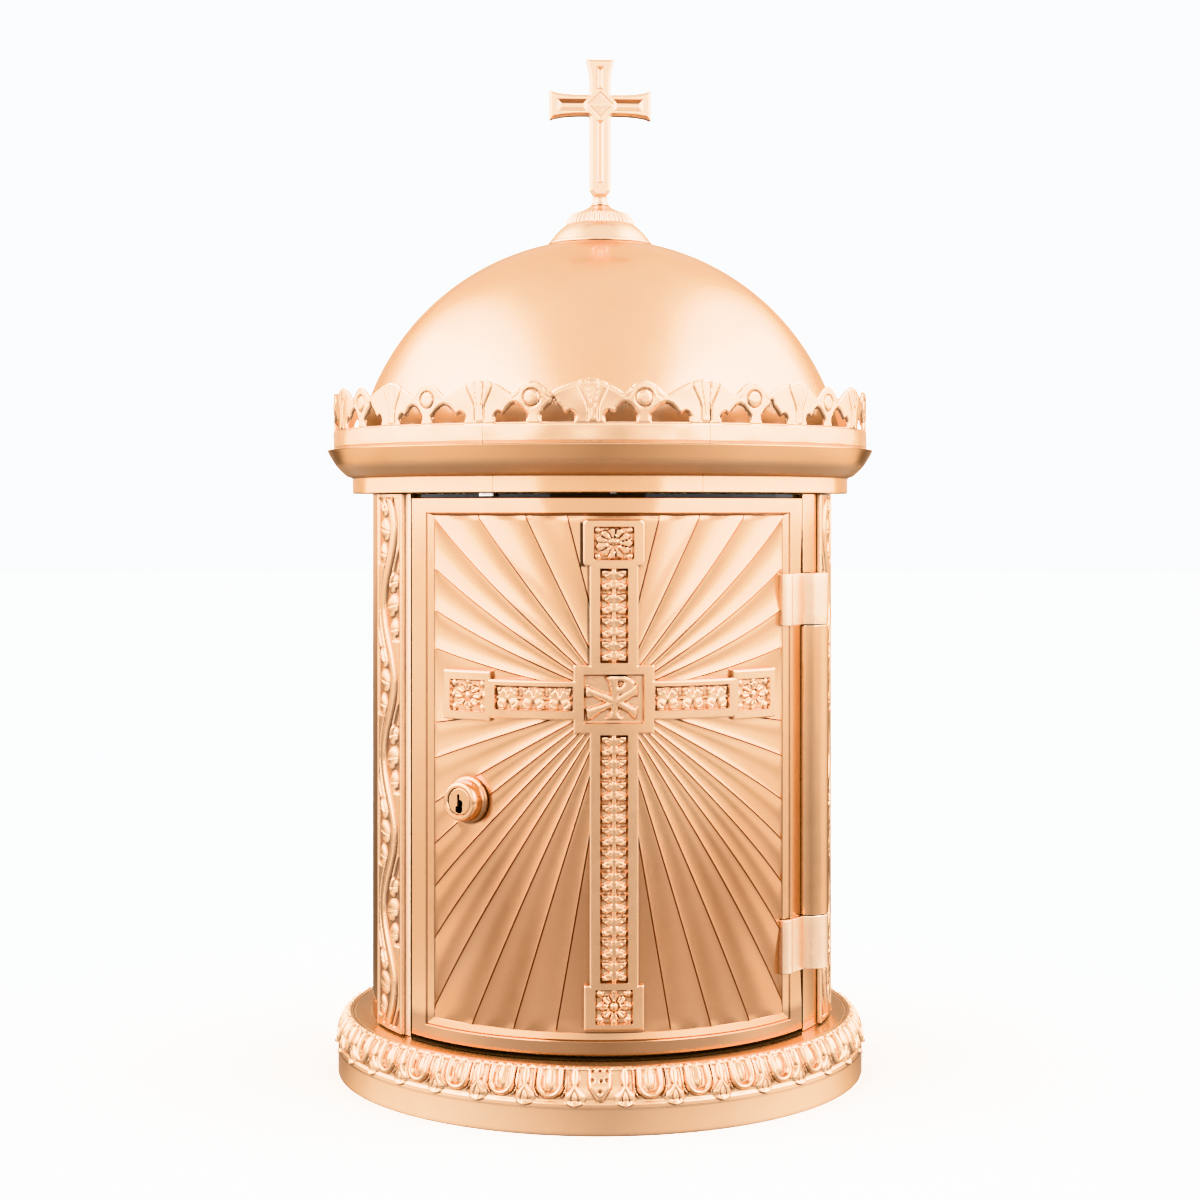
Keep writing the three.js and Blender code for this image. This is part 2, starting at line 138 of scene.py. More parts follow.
def turned_solid(name, profile, n=96, sharp=32.0, frame_of=None, shape=None):
    """A turned solid that meets its axis at both ends. profile: (r, h) from the bottom axis point,
    out, up and back to the top axis point. frame_of places local (x, y, h) points."""
    prof = np.asarray(profile, float)
    inner = prof[1:-1]
    ang = np.arange(n) * 2 * math.pi / n
    R = np.repeat(inner[:, 0][:, None], n, 1)
    H = np.repeat(inner[:, 1][:, None], n, 1)
    X, Y = R * np.cos(ang), R * np.sin(ang)
    if shape is not None:
        X, Y, H = shape(X, Y, H)
    v = np.stack([X, Y, H], -1).reshape(-1, 3)
    k = len(v)
    lo, hi = np.array([[0, 0, prof[0, 1]]]), np.array([[0, 0, prof[-1, 1]]])
    if shape is not None:
        lo = np.stack(shape(lo[:, 0], lo[:, 1], lo[:, 2]), -1)
        hi = np.stack(shape(hi[:, 0], hi[:, 1], hi[:, 2]), -1)
    v = np.vstack([v, lo, hi])
    quads = grid_faces(len(inner), n, False, True)
    c = np.arange(n)
    c1 = (c + 1) % n
    bottom = np.stack([np.full(n, k), c1, c], -1)
    top0 = (len(inner) - 1) * n
    top = np.stack([np.full(n, k + 1), top0 + c, top0 + c1], -1)
    if frame_of is not None:
        v = frame_of(v)
    return make_mesh(name, v, [quads, bottom, top], sharp)


def relief(name, U, Z, F, B, keep, place, sharp=38.0):
    """A closed plate: F is its front surface, B its back surface, on a grid (U, Z). Only the kept
    cells are made. place(u, z, h) gives points."""
    m, n = U.shape
    if keep is None:
        keep = np.ones((m - 1, n - 1), bool)
    used = np.zeros((m, n), bool)
    used[:-1, :-1] |= keep
    used[1:, :-1] |= keep
    used[:-1, 1:] |= keep
    used[1:, 1:] |= keep
    idx = np.full((m, n), -1, np.int64)
    k = int(used.sum())
    idx[used] = np.arange(k)
    F = np.broadcast_to(F, U.shape)
    B = np.broadcast_to(B, U.shape)
    v = np.vstack([place(U[used], Z[used], F[used]), place(U[used], Z[used], B[used])])
    a, b = idx[:-1, :-1], idx[:-1, 1:]
    c, d = idx[1:, 1:], idx[1:, :-1]
    front = np.stack([a[keep], b[keep], c[keep], d[keep]], 1)
    back = np.stack([a[keep], d[keep], c[keep], b[keep]], 1) + k
    pad = np.zeros((m + 1, n + 1), bool)
    pad[1:-1, 1:-1] = keep
    walls = []
    for side, (p, q) in (
        (~pad[:-2, 1:-1], (a, b)),
        (~pad[1:-1, 2:], (b, c)),
        (~pad[2:, 1:-1], (c, d)),
        (~pad[1:-1, :-2], (d, a)),
    ):
        w = keep & side
        walls.append(np.stack([q[w], p[w], p[w] + k, q[w] + k], 1))
    return make_mesh(name, v, [front, back] + walls, sharp)


def on_drum(u, z, r):
    """Arc length at UR, height and radius to a point."""
    return polar(r, u / UR / RAD, z)


def spaced(edges, step):
    """Coordinates through every edge, never further apart than step."""
    edges = sorted(set(round(e, 4) for e in edges))
    out = [edges[0]]
    for a, b in zip(edges[:-1], edges[1:]):
        k = max(1, int(math.ceil((b - a) / step - 1e-6)))
        out += [a + (b - a) * (i + 1) / k for i in range(k)]
    return np.array(out)


def smooth01(x):
    x = np.clip(x, 0.0, 1.0)
    return x * x * (3 - 2 * x)


def dome01(x):
    """A rounded ridge: 1 at x = 0, 0 at |x| >= 1."""
    return np.sqrt(np.clip(1 - x * x, 0.0, 1.0))


def sd_box(x, y, hx, hy, r=0.0):
    qx, qy = np.abs(x) - (hx - r), np.abs(y) - (hy - r)
    return np.hypot(np.maximum(qx, 0), np.maximum(qy, 0)) + np.minimum(np.maximum(qx, qy), 0) - r


def sd_poly(x, y, pts):
    """Signed distance to a polygon, negative inside."""
    pts = np.asarray(pts, float)
    d = np.full(x.shape, 1e9)
    s = np.zeros(x.shape, bool)
    n = len(pts)
    for i in range(n):
        ax, ay = pts[i]
        bx, by = pts[(i + 1) % n]
        ex, ey = bx - ax, by - ay
        wx, wy = x - ax, y - ay
        t = np.clip((wx * ex + wy * ey) / max(ex * ex + ey * ey, 1e-12), 0, 1)
        d = np.minimum(d, np.hypot(wx - t * ex, wy - t * ey))
        if ey != 0:
            cross = ((ay > y) != (by > y)) & (x < ex * (y - ay) / ey + ax)
            s ^= cross
    return np.where(s, -d, d)


def sd_path(x, y, pts):
    """Distance to an open line of points."""
    pts = np.asarray(pts, float)
    d = np.full(x.shape, 1e9)
    for (ax, ay), (bx, by) in zip(pts[:-1], pts[1:]):
        ex, ey = bx - ax, by - ay
        wx, wy = x - ax, y - ay
        t = np.clip((wx * ex + wy * ey) / max(ex * ex + ey * ey, 1e-12), 0, 1)
        d = np.minimum(d, np.hypot(wx - t * ex, wy - t * ey))
    return d


def curve_through(pts, per=6, closed=False):
    """A Catmull-Rom line through the points."""
    p = np.asarray(pts, float)
    n = len(p)
    out = []
    last = n if closed else n - 1
    for i in range(last):
        p0 = p[(i - 1) % n] if closed or i > 0 else 2 * p[0] - p[1]
        p1, p2 = p[i], p[(i + 1) % n]
        p3 = p[(i + 2) % n] if closed or i + 2 < n else 2 * p[-1] - p[-2]
        for j in range(per):
            t = j / per
            out.append(
                0.5 * (2 * p1 + (p2 - p0) * t + (2 * p0 - 5 * p1 + 4 * p2 - p3) * t * t
                       + (3 * p1 - p0 - 3 * p2 + p3) * t ** 3))
    if not closed:
        out.append(p[-1])
    return np.array(out)


def snap(U, Z, D, limit):
    """Moves the vertices along the border of the kept cells onto the line D = 0.
    Returns U, Z, the kept cells."""
    centre = 0.25 * (D[:-1, :-1] + D[1:, :-1] + D[:-1, 1:] + D[1:, 1:])
    keep = centre < 0
    m, n = U.shape
    near = np.zeros((m, n), bool)
    far = np.zeros((m, n), bool)
    for sl in ((slice(None, -1), slice(None, -1)), (slice(1, None), slice(None, -1)),
               (slice(None, -1), slice(1, None)), (slice(1, None), slice(1, None))):
        near[sl] |= keep
        far[sl] |= ~keep
    edge = near & far
    edge[0, :] = edge[-1, :] = False
    gz, gu = np.gradient(D)
    du = np.gradient(U, axis=1)
    dz = np.gradient(Z, axis=0)
    gu, gz = gu / du, gz / dz
    norm = np.maximum(np.hypot(gu, gz), 0.25)
    mv = np.clip(D, -limit, limit)
    U2, Z2 = U.copy(), Z.copy()
    U2[edge] -= (mv * gu / norm)[edge]
    Z2[edge] -= (mv * gz / norm)[edge]
    return U2, Z2, keep


# ---------------------------------------------------------------- materials
def new_material(name):
    mat = bpy.data.materials.new(name)
    mat.use_nodes = True
    nt = mat.node_tree
    nt.nodes.clear()
    out = nt.nodes.new("ShaderNodeOutputMaterial")
    bsdf = nt.nodes.new("ShaderNodeBsdfPrincipled")
    nt.links.new(bsdf.outputs["BSDF"], out.inputs["Surface"])
    return mat, nt, bsdf


def brass(name, light, deep, rough, rough_var, hollow_shade, grain=None, bump=0.02, wear=0.35,
          ao_dist=0.0035, aniso=0.0, painted_shadow_range=(0.08, 0.42)):
    """Lacquered rose-gold brass: two close tones, tarnish and painted shade in the hollows, a near-black painted shadow
    where they are deepest, brighter worn edges, faint wipe marks in the roughness and a fine polishing grain in the
    bump."""
    mat, nt, bsdf = new_material(name)
    N, L = nt.nodes, nt.links
    tc = N.new("ShaderNodeTexCoord")
    bsdf.inputs["Metallic"].default_value = 1.0

    def noise(scale, detail, rough_=0.5, stretch=None, seed=0.0):
        m = N.new("ShaderNodeMapping")
        m.inputs["Location"].default_value = (seed, seed * 0.7, seed * 1.3)
        if stretch:
            m.inputs["Scale"].default_value = stretch
        L.new(tc.outputs["Object"], m.inputs["Vector"])
        t = N.new("ShaderNodeTexNoise")
        t.inputs["Scale"].default_value = scale
        t.inputs["Detail"].default_value = detail
        t.inputs["Roughness"].default_value = rough_
        L.new(m.outputs["Vector"], t.inputs["Vector"])
        return t.outputs["Fac"]

    def ramp(fac, a, b, lo=0.0, hi=1.0):
        r = N.new("ShaderNodeMapRange")
        r.inputs["From Min"].default_value = a
        r.inputs["From Max"].default_value = b
        r.inputs["To Min"].default_value = lo
        r.inputs["To Max"].default_value = hi
        L.new(fac, r.inputs["Value"])
        return r.outputs["Result"]

    def mix(fac, a, b):
        x = N.new("ShaderNodeMix")
        x.data_type = "RGBA"
        if isinstance(fac, float):
            x.inputs[0].default_value = fac
        else:
            L.new(fac, x.inputs[0])
        for sock, val in ((x.inputs[6], a), (x.inputs[7], b)):
            if isinstance(val, tuple):
                sock.default_value = (*val, 1.0)
            else:
                L.new(val, sock)
        return x.outputs[2]

    def math_(op, a, b=None):
        x = N.new("ShaderNodeMath")
        x.operation = op
        for i, val in enumerate((a, b)):
            if val is None:
                continue
            if isinstance(val, (int, float)):
                x.inputs[i].default_value = val
            else:
                L.new(val, x.inputs[i])
        return x.outputs[0]

    clouds = ramp(noise(14, 3, 0.55, seed=1.0), 0.3, 0.7)
    base = mix(clouds, light, deep)
    # painted shade in the hollows and creases, from ambient occlusion and pointiness, mixed with tarnish left by the
    # polishing cloth
    geo = N.new("ShaderNodeNewGeometry")
    ao = N.new("ShaderNodeAmbientOcclusion")
    ao.samples = 8
    ao.inputs["Distance"].default_value = ao_dist
    hollow = ramp(ao.outputs["AO"], 0.35, 0.93, 1.0, 0.0)
    groove = ramp(geo.outputs["Pointiness"], 0.455, 0.495, 1.0, 0.0)
    hollow = math_("MAXIMUM", hollow, groove)
    blot = ramp(noise(220, 3, 0.6, seed=2.0), 0.25, 0.75, 0.6, 1.0)
    shade_and_tarnish = math_("MULTIPLY", hollow, blot)
    dark = tuple(c * k for c, k in zip(deep, hollow_shade))
    base = mix(shade_and_tarnish, base, dark)
    # painted shadow: nearly black where the ambient occlusion is deepest
    painted_shadow = ramp(ao.outputs["AO"], painted_shadow_range[0], painted_shadow_range[1], 0.92, 0.0)
    base = mix(painted_shadow, base, (0.07, 0.03, 0.015))
    # worn edges
    edge = ramp(geo.outputs["Pointiness"], 0.51, 0.6)
    edge = math_("MULTIPLY", edge, ramp(noise(90, 4, 0.6, seed=3.0), 0.3, 0.7, 0.3, 1.0))
    edge = math_("MULTIPLY", edge, wear)
    pale = tuple(min(1.0, c * 1.08 + 0.05) for c in light)
    base = mix(edge, base, pale)
    L.new(base, bsdf.inputs["Base Color"])

    wipe = ramp(noise(26, 5, 0.6, (1.0, 1.0, 0.35), 4.0), 0.3, 0.75)
    fine = ramp(noise(260, 4, 0.65, seed=5.0), 0.3, 0.75)
    r = math_("MULTIPLY_ADD", wipe, rough_var)
    r.node.inputs[2].default_value = rough
    r2 = math_("MULTIPLY_ADD", fine, rough_var * 0.5)
    L.new(r, r2.node.inputs[2])
    r3 = math_("MULTIPLY_ADD", shade_and_tarnish, 0.18)
    L.new(r2, r3.node.inputs[2])
    L.new(r3, bsdf.inputs["Roughness"])
    bsdf.inputs["Anisotropic"].default_value = aniso
    bsdf.inputs["Specular Tint"].default_value = (0.96, 0.72, 0.52, 1.0)
    bsdf.inputs["Coat Weight"].default_value = 0.3
    bsdf.inputs["Coat Roughness"].default_value = 0.08
    bsdf.inputs["Coat IOR"].default_value = 1.5

    # polishing grain
    g = noise(*((grain or (900, 3, (1.0, 1.0, 0.06)))[:2]), 0.6,
              (grain or (900, 3, (1.0, 1.0, 0.06)))[2], 6.0)
    waves = noise(38, 2, 0.4, seed=7.0)
    h = math_("MULTIPLY_ADD", g, 0.25)
    L.new(waves, h.node.inputs[2])
    b = N.new("ShaderNodeBump")
    b.inputs["Strength"].default_value = bump
    b.inputs["Distance"].default_value = 0.002
    L.new(h, b.inputs["Height"])
    L.new(b.outputs["Normal"], bsdf.inputs["Normal"])
    return mat


LIGHT = (0.90, 0.575, 0.365)
DEEP = (0.865, 0.51, 0.30)
M_POLISH = brass("polished_rose_brass", LIGHT, DEEP, 0.10, 0.06, (0.36, 0.27, 0.2))
M_TURNED = brass("turned_rose_brass", (0.97, 0.61, 0.375), (0.93, 0.545, 0.31), 0.11, 0.05, (0.45, 0.34, 0.26),
                 grain=(700, 3, (0.12, 0.12, 1.0)))
M_PANEL = brass("sunburst_satin_brass", LIGHT, DEEP, 0.16, 0.05, (0.42, 0.28, 0.18),
                grain=(520, 4, (1.0, 1.0, 0.5)), bump=0.035, ao_dist=0.0022)
M_CAST = brass("cast_rose_brass", (0.94, 0.64, 0.44), (0.9, 0.57, 0.36), 0.19, 0.08, (0.34, 0.23, 0.15),
               grain=(420, 5, (1.0, 1.0, 1.0)), bump=0.05, wear=0.5, ao_dist=0.003)
M_DOME = brass("dome_satin_brass", LIGHT, DEEP, 0.22, 0.05, (0.84, 0.78, 0.74),
               grain=(620, 3, (0.1, 0.1, 1.0)), bump=0.02, ao_dist=0.006, painted_shadow_range=(0.0, 0.1))
# a dark copy of the dome's brass: painted shade on the dome's foot behind the crest
M_DOME_FOOT_SHADE = brass("dome_foot_painted_shade_brass", (0.2, 0.112, 0.062), (0.165, 0.09, 0.048), 0.4, 0.06, (0.6, 0.46, 0.36),
                    grain=(620, 3, (0.1, 0.1, 1.0)), bump=0.02, ao_dist=0.006, painted_shadow_range=(0.0, 0.1))
M_DRUM = brass("drum_rose_brass", LIGHT, DEEP, 0.12, 0.05, (0.85, 0.75, 0.65), grain=(520, 4, (1.0, 1.0, 0.06)), bump=0.015,
               ao_dist=0.0015, painted_shadow_range=(0.0, 0.2))
M_CROSS = brass("finial_rose_brass", (0.93, 0.68, 0.5), (0.9, 0.62, 0.43), 0.2, 0.06, (0.74, 0.64, 0.55), wear=0.2, ao_dist=0.002,
                painted_shadow_range=(0.0, 0.05))
# a dark brown copy of the brass: painted shade in cuts, on undersides and on edges turned from the light
M_PAINTED_SHADE = brass("shaded_brown_brass", (0.36, 0.19, 0.105), (0.29, 0.145, 0.08), 0.34, 0.08, (0.5, 0.4, 0.34),
                grain=(420, 5, (1.0, 1.0, 1.0)), bump=0.03, wear=0.2, ao_dist=0.002)
M_REAR = brass("crest_rear_brass", (0.9, 0.66, 0.46), (0.86, 0.6, 0.4), 0.34, 0.08, (0.6, 0.48, 0.38),
               grain=(420, 5, (1.0, 1.0, 1.0)), bump=0.03, ao_dist=0.004)
M_INNER = brass("inner_gilt_brass", (0.94, 0.74, 0.50), (0.9, 0.67, 0.42), 0.36, 0.1,
                (0.6, 0.48, 0.38), grain=(500, 4, (1.0, 1.0, 0.08)), bump=0.04, ao_dist=0.008)


# the ceiling plate's brass carries a wide near-black painted shadow from ambient occlusion
M_CEIL = brass("ceiling_gilt_brass", (0.9, 0.58, 0.3), (0.82, 0.49, 0.22), 0.34, 0.1,
               (0.5, 0.38, 0.28), grain=(500, 4, (1.0, 1.0, 0.08)), bump=0.04, ao_dist=0.012,
               painted_shadow_range=(0.32, 0.72))


def painted_rim_shade(mat, r_in, r_out):
    """Painted shade towards the rim of a round plate: radii in mm from the drum's axis."""
    nt = mat.node_tree
    N, L = nt.nodes, nt.links
    bsdf = next(x for x in N if x.type == "BSDF_PRINCIPLED")
    was = bsdf.inputs["Base Color"].links[0].from_socket
    geo = N.new("ShaderNodeNewGeometry")
    flat = N.new("ShaderNodeVectorMath")
    flat.operation = "MULTIPLY"
    flat.inputs[1].default_value = (1.0, 1.0, 0.0)
    L.new(geo.outputs["Position"], flat.inputs[0])
    far = N.new("ShaderNodeVectorMath")
    far.operation = "LENGTH"
    L.new(flat.outputs["Vector"], far.inputs[0])
    mr = N.new("ShaderNodeMapRange")
    mr.inputs["From Min"].default_value = r_in * 0.001
    mr.inputs["From Max"].default_value = r_out * 0.001
    L.new(far.outputs["Value"], mr.inputs["Value"])
    mix = N.new("ShaderNodeMix")
    mix.data_type = "RGBA"
    mix.inputs[7].default_value = (0.02, 0.011, 0.006, 1.0)
    L.new(was, mix.inputs[6])
    L.new(mr.outputs["Result"], mix.inputs[0])
    L.new(mix.outputs[2], bsdf.inputs["Base Color"])


# painted shade round the rim of the ceiling plate, next to the drum wall
painted_rim_shade(M_CEIL, 104.0, 108.5)


def paint_shade_by_height(mat, high, low, tint, foot=None, rough=None):
    """Painted shade: a deeper tone from the height high (none) down to low (all of it), in mm; foot ends it again.
    rough is the roughness where the tone is deepest."""
    nt = mat.node_tree
    N, L = nt.nodes, nt.links
    bsdf = next(x for x in N if x.type == "BSDF_PRINCIPLED")
    was = bsdf.inputs["Base Color"].links[0].from_socket
    geo = N.new("ShaderNodeNewGeometry")
    sep = N.new("ShaderNodeSeparateXYZ")
    L.new(geo.outputs["Position"], sep.inputs[0])
    mr = N.new("ShaderNodeMapRange")
    mr.interpolation_type = "SMOOTHSTEP"
    mr.inputs["From Min"].default_value = high * 0.001
    mr.inputs["From Max"].default_value = low * 0.001
    L.new(sep.outputs["Z"], mr.inputs["Value"])
    fac = mr.outputs["Result"]
    if foot:
        m2 = N.new("ShaderNodeMapRange")
        m2.inputs["From Min"].default_value = foot[0] * 0.001
        m2.inputs["From Max"].default_value = foot[1] * 0.001
        L.new(sep.outputs["Z"], m2.inputs["Value"])
        both = N.new("ShaderNodeMath")
        both.operation = "MULTIPLY"
        L.new(fac, both.inputs[0])
        L.new(m2.outputs["Result"], both.inputs[1])
        fac = both.outputs[0]
    mix = N.new("ShaderNodeMix")
    mix.data_type = "RGBA"
    mix.blend_type = "MULTIPLY"
    mix.inputs[7].default_value = (*tint, 1.0)
    L.new(was, mix.inputs[6])
    L.new(fac, mix.inputs[0])
    L.new(mix.outputs[2], bsdf.inputs["Base Color"])
    if rough is not None and bsdf.inputs["Roughness"].is_linked:
        mr3 = N.new("ShaderNodeMix")
        mr3.data_type = "FLOAT"
        L.new(fac, mr3.inputs[0])
        L.new(bsdf.inputs["Roughness"].links[0].from_socket, mr3.inputs[2])
        mr3.inputs[3].default_value = rough
        L.new(mr3.outputs[0], bsdf.inputs["Roughness"])


def paint_corner_shade(mat, high, low, near, far, tint):
    """Painted shade, deeper towards the lower corners of the door: heights, and distances from its middle, in mm."""
    nt = mat.node_tree
    N, L = nt.nodes, nt.links
    bsdf = next(x for x in N if x.type == "BSDF_PRINCIPLED")
    was = bsdf.inputs["Base Color"].links[0].from_socket
    tc = N.new("ShaderNodeTexCoord")
    sep = N.new("ShaderNodeSeparateXYZ")
    L.new(tc.outputs["Object"], sep.inputs[0])
    side = N.new("ShaderNodeMath")
    side.operation = "ABSOLUTE"
    L.new(sep.outputs["X"], side.inputs[0])
    both = N.new("ShaderNodeMath")
    both.operation = "MULTIPLY"
    for i, (src, a, b) in enumerate(((sep.outputs["Z"], high, low), (side.outputs[0], near, far))):
        mr = N.new("ShaderNodeMapRange")
        mr.interpolation_type = "SMOOTHSTEP"
        mr.inputs["From Min"].default_value = a * 0.001
        mr.inputs["From Max"].default_value = b * 0.001
        L.new(src, mr.inputs["Value"])
        L.new(mr.outputs["Result"], both.inputs[i])
    mix = N.new("ShaderNodeMix")
    mix.data_type = "RGBA"
    mix.blend_type = "MULTIPLY"
    mix.inputs[7].default_value = (*tint, 1.0)
    L.new(was, mix.inputs[6])
    L.new(both.outputs[0], mix.inputs[0])
    L.new(mix.outputs[2], bsdf.inputs["Base Color"])


# painted shade: the door's panel darker low down and in its lower corners, the door border darker at its foot, the
# cornice's ovolo darker low down
paint_shade_by_height(M_PANEL, 185.0, 90.0, (0.8, 0.72, 0.66))
paint_corner_shade(M_PANEL, 190.0, 105.0, 18.0, 58.0, (0.74, 0.68, 0.62))
paint_shade_by_height(M_POLISH, 46.0, 40.5, (0.6, 0.53, 0.48))
paint_shade_by_height(M_TURNED, 300.0, 295.5, (0.55, 0.55, 0.56), (291.3, 291.8), 0.45)


def steel_material(name, tone, rough):
    mat, nt, bsdf = new_material(name)
    N, L = nt.nodes, nt.links
    tc = N.new("ShaderNodeTexCoord")
    bsdf.inputs["Metallic"].default_value = 1.0
    n1 = N.new("ShaderNodeTexNoise")
    n1.inputs["Scale"].default_value = 180
    n1.inputs["Detail"].default_value = 5
    L.new(tc.outputs["Object"], n1.inputs["Vector"])
    mp = N.new("ShaderNodeMapping")
    mp.inputs["Scale"].default_value = (1.0, 1.0, 0.08)
    L.new(tc.outputs["Object"], mp.inputs["Vector"])
    n2 = N.new("ShaderNodeTexNoise")
    n2.inputs["Scale"].default_value = 2200
    n2.inputs["Detail"].default_value = 2
    L.new(mp.outputs["Vector"], n2.inputs["Vector"])
    mix = N.new("ShaderNodeMix")
    mix.data_type = "RGBA"
    mix.inputs[6].default_value = (*tone, 1.0)
    mix.inputs[7].default_value = (*(c * 0.72 for c in tone), 1.0)
    L.new(n1.outputs["Fac"], mix.inputs[0])
    L.new(mix.outputs[2], bsdf.inputs["Base Color"])
    mr = N.new("ShaderNodeMapRange")
    mr.inputs["To Min"].default_value = rough
    mr.inputs["To Max"].default_value = rough + 0.2
    L.new(n1.outputs["Fac"], mr.inputs["Value"])
    L.new(mr.outputs["Result"], bsdf.inputs["Roughness"])
    b = N.new("ShaderNodeBump")
    b.inputs["Strength"].default_value = 0.08
    b.inputs["Distance"].default_value = 0.0006
    L.new(n2.outputs["Fac"], b.inputs["Height"])
    L.new(b.outputs["Normal"], bsdf.inputs["Normal"])
    return mat


M_STEEL = steel_material("brushed_steel", (0.62, 0.6, 0.57), 0.25)

# ---------------------------------------------------------------- base moulding
BASE_TURN = -3.2  # the leaf band is centred a little to the left of the door


def base_moulding():
    n = 2160
    phis = np.arange(n) * 360.0 / n
    # the profile, anticlockwise: fascia, leaf band, bead, top, inside
    fascia = [(126.2, 0.0), (129.3, 0.0), (129.85, 0.25), (130.0, 0.8), (130.0, 11.6), (129.95, 12.2)]
    band = curve_through([(129.9, 12.7), (129.95, 15.5), (129.5, 19.0), (128.5, 22.8),
                          (127.1, 25.7), (125.6, 27.7), (124.55, 28.75)], per=9)
    top = [(124.2, 29.1), (123.8, 29.45), (123.35, 29.5), (122.95, 29.4), (122.6, 28.95),
           (122.0, 28.85), (121.6, 29.1), (121.1, 29.2), (120.6, 29.1), (118.0, 28.95), (114.0, 28.95), (113.4, 29.5),
           (106.3, 29.5), (106.3, 26.2), (98.0, 26.2), (98.0, 23.0), (121.4, 23.0), (125.7, 14.0),
           (125.7, 6.7), (118.0, 6.7), (118.0, 3.4), (126.2, 3.4)]
    prof = np.array(fascia + [tuple(p) for p in band] + top)
    R = np.repeat(prof[:, 0][:, None], n, 1)
    Z = np.repeat(prof[:, 1][:, None], n, 1)
    i0, i1 = len(fascia), len(fascia) + len(band)
    b = prof[i0:i1]
    seg = np.hypot(*np.diff(b, axis=0).T)
    v = np.concatenate([[0], np.cumsum(seg)])
    total = v[-1]
    t = np.gradient(b, axis=0)
    t /= np.linalg.norm(t, axis=1)[:, None]
    nrm = np.stack([t[:, 1], -t[:, 0]], 1)
    unit = 10.0
    q = (phis - BASE_TURN + unit / 2) / unit
    which = np.floor(q).astype(int) % 36
    a = (q - np.floor(q) - 0.5) * unit
    V = v[:, None] + 0 * a[None, :]
    rad = b[:, 0][:, None]
    X = a[None, :] * RAD * rad
    half = unit / 2 * RAD * rad  # half a unit's width at this height
    lift = np.zeros_like(X)
    # sunk ground, fading out at the bottom and at the top
    ground = -0.95 * smooth01((V - 1.3) / 1.6) * smooth01((total + 0.1 - V) / 1.6)
    # the U loop
    c0, rr = 9.4, 4.85
    narrow = 1.0 - 0.05 * smooth01((V - c0) / 9.0)
    du = np.where(V > c0, np.abs(np.abs(X) - rr * narrow), np.abs(np.hypot(X, (V - c0) * 1.08) - rr))
    loop = 2.2 * dome01(du / 1.5) ** 1.3 * smooth01((total + 0.4 - V) / 1.4)
    # the egg inside
    egg_d = np.hypot(X / 2.2, (V - 12.4) / 5.8)
    egg = 0.75 * dome01(egg_d) ** 1.2
    rib = 0.35 * np.clip(1 - np.abs(X) / 0.45, 0, 1) * smooth01((V - 6.2) / 1.5) * smooth01((total - V) / 2)
    # the dart between the loops, spreading to a rounded foot
    W = half - np.abs(X)
    foot = 1.25 + 3.5 * smooth01((9.8 - V) / 5.4) + 0.75 * dome01((V - 13.0) / 3.6) - 0.4 * smooth01((V - 14) / 4)
    foot = foot * np.where(V < 4.2, np.sqrt(np.clip(1 - ((4.2 - V) / 3.7) ** 2, 0.0, 1)), 1.0)
    dart = 1.75 * dome01(np.clip(W / np.maximum(foot, 0.05), 0, 1)) ** 1.2 * smooth01((total + 0.4 - V) / 1.4)
    dart = np.where(foot < 0.06, 0, dart)
    crease = -0.7 * np.clip(1 - np.abs(W - 1.5 * smooth01((8.5 - V) / 5)) / 0.45, 0, 1) * smooth01((9.0 - V) / 3.0) * smooth01((V - 1.6) / 1.2)
    # a small leaf lobe beside the dart's foot
    lobe_d = np.hypot((W - 3.0) / 1.5, (V - 5.0) / 2.4)
    lobe = 0.75 * dome01(lobe_d)
    rim = 1.0 * dome01(np.clip((du - 2.55) / 0.55, -1, 1)) * (np.abs(X) > rr * narrow) * smooth01((V - 3.6) / 1.2)
    rim = rim * smooth01((total + 0.4 - V) / 1.4)
    shape = np.maximum.reduce([loop, egg + rib * (egg > 0), dart + crease, lobe, rim])
    # the one at the front centre is a pierced heart-shaped leaf
    heart_d = np.where(V > 9.0, np.abs(X) / 5.2, np.hypot(X / 5.2, (V - 9.0) / 6.6) + 0.0)
    heart_d = np.maximum(heart_d, (np.abs(X) * 1.25 + (9.0 - V) * 0.8) / 6.8)
    heart = 1.45 * dome01(heart_d * 0.999) ** 0.5
    for hx, hv in ((-3.1, 16.2), (0.0, 16.4), (3.1, 16.2), (-3.3, 12.0), (0.5, 11.6), (2.9, 12.0), (0.0, 6.8)):
        heart -= 1.5 * np.clip(1.15 - np.hypot(X - hx, V - hv) / 0.95, 0, 1) * (heart > 0)
    heart = heart * smooth01((total + 0.4 - V) / 1.4)
    shape = np.where((which == 0)[None, :], np.maximum(heart, dart + crease), shape)
    # hand chasing: no two units quite alike
    rng = np.random.default_rng(7)
    hand = 1.0 + 0.09 * (rng.random(36)[which] - 0.5)
    lift = ground + shape * hand[None, :] * 0.98
    R[i0:i1] += nrm[:, 0][:, None] * lift
    Z[i0:i1] += nrm[:, 1][:, None] * lift
    # a string of fine beads above the band
    k0 = i1
    bead = np.abs(np.sin(phis * RAD * 124.0 / 1.9 * math.pi / 2.0))
    for j, amp in ((i1 - 1, 0.18), (k0, 0.42), (k0 + 1, 0.3)):
        R[j] += 0.62 * amp * bead
        Z[j] += 0.62 * amp * (bead - 0.4)
    pts = polar(R, phis[None, :], Z)
    ob = make_mesh("base_moulding", pts.reshape(-1, 3), [grid_faces(len(prof), n, True, True)], 44)
    return finish_piece(ob, "body", "base_ring", M_CAST_BASE)


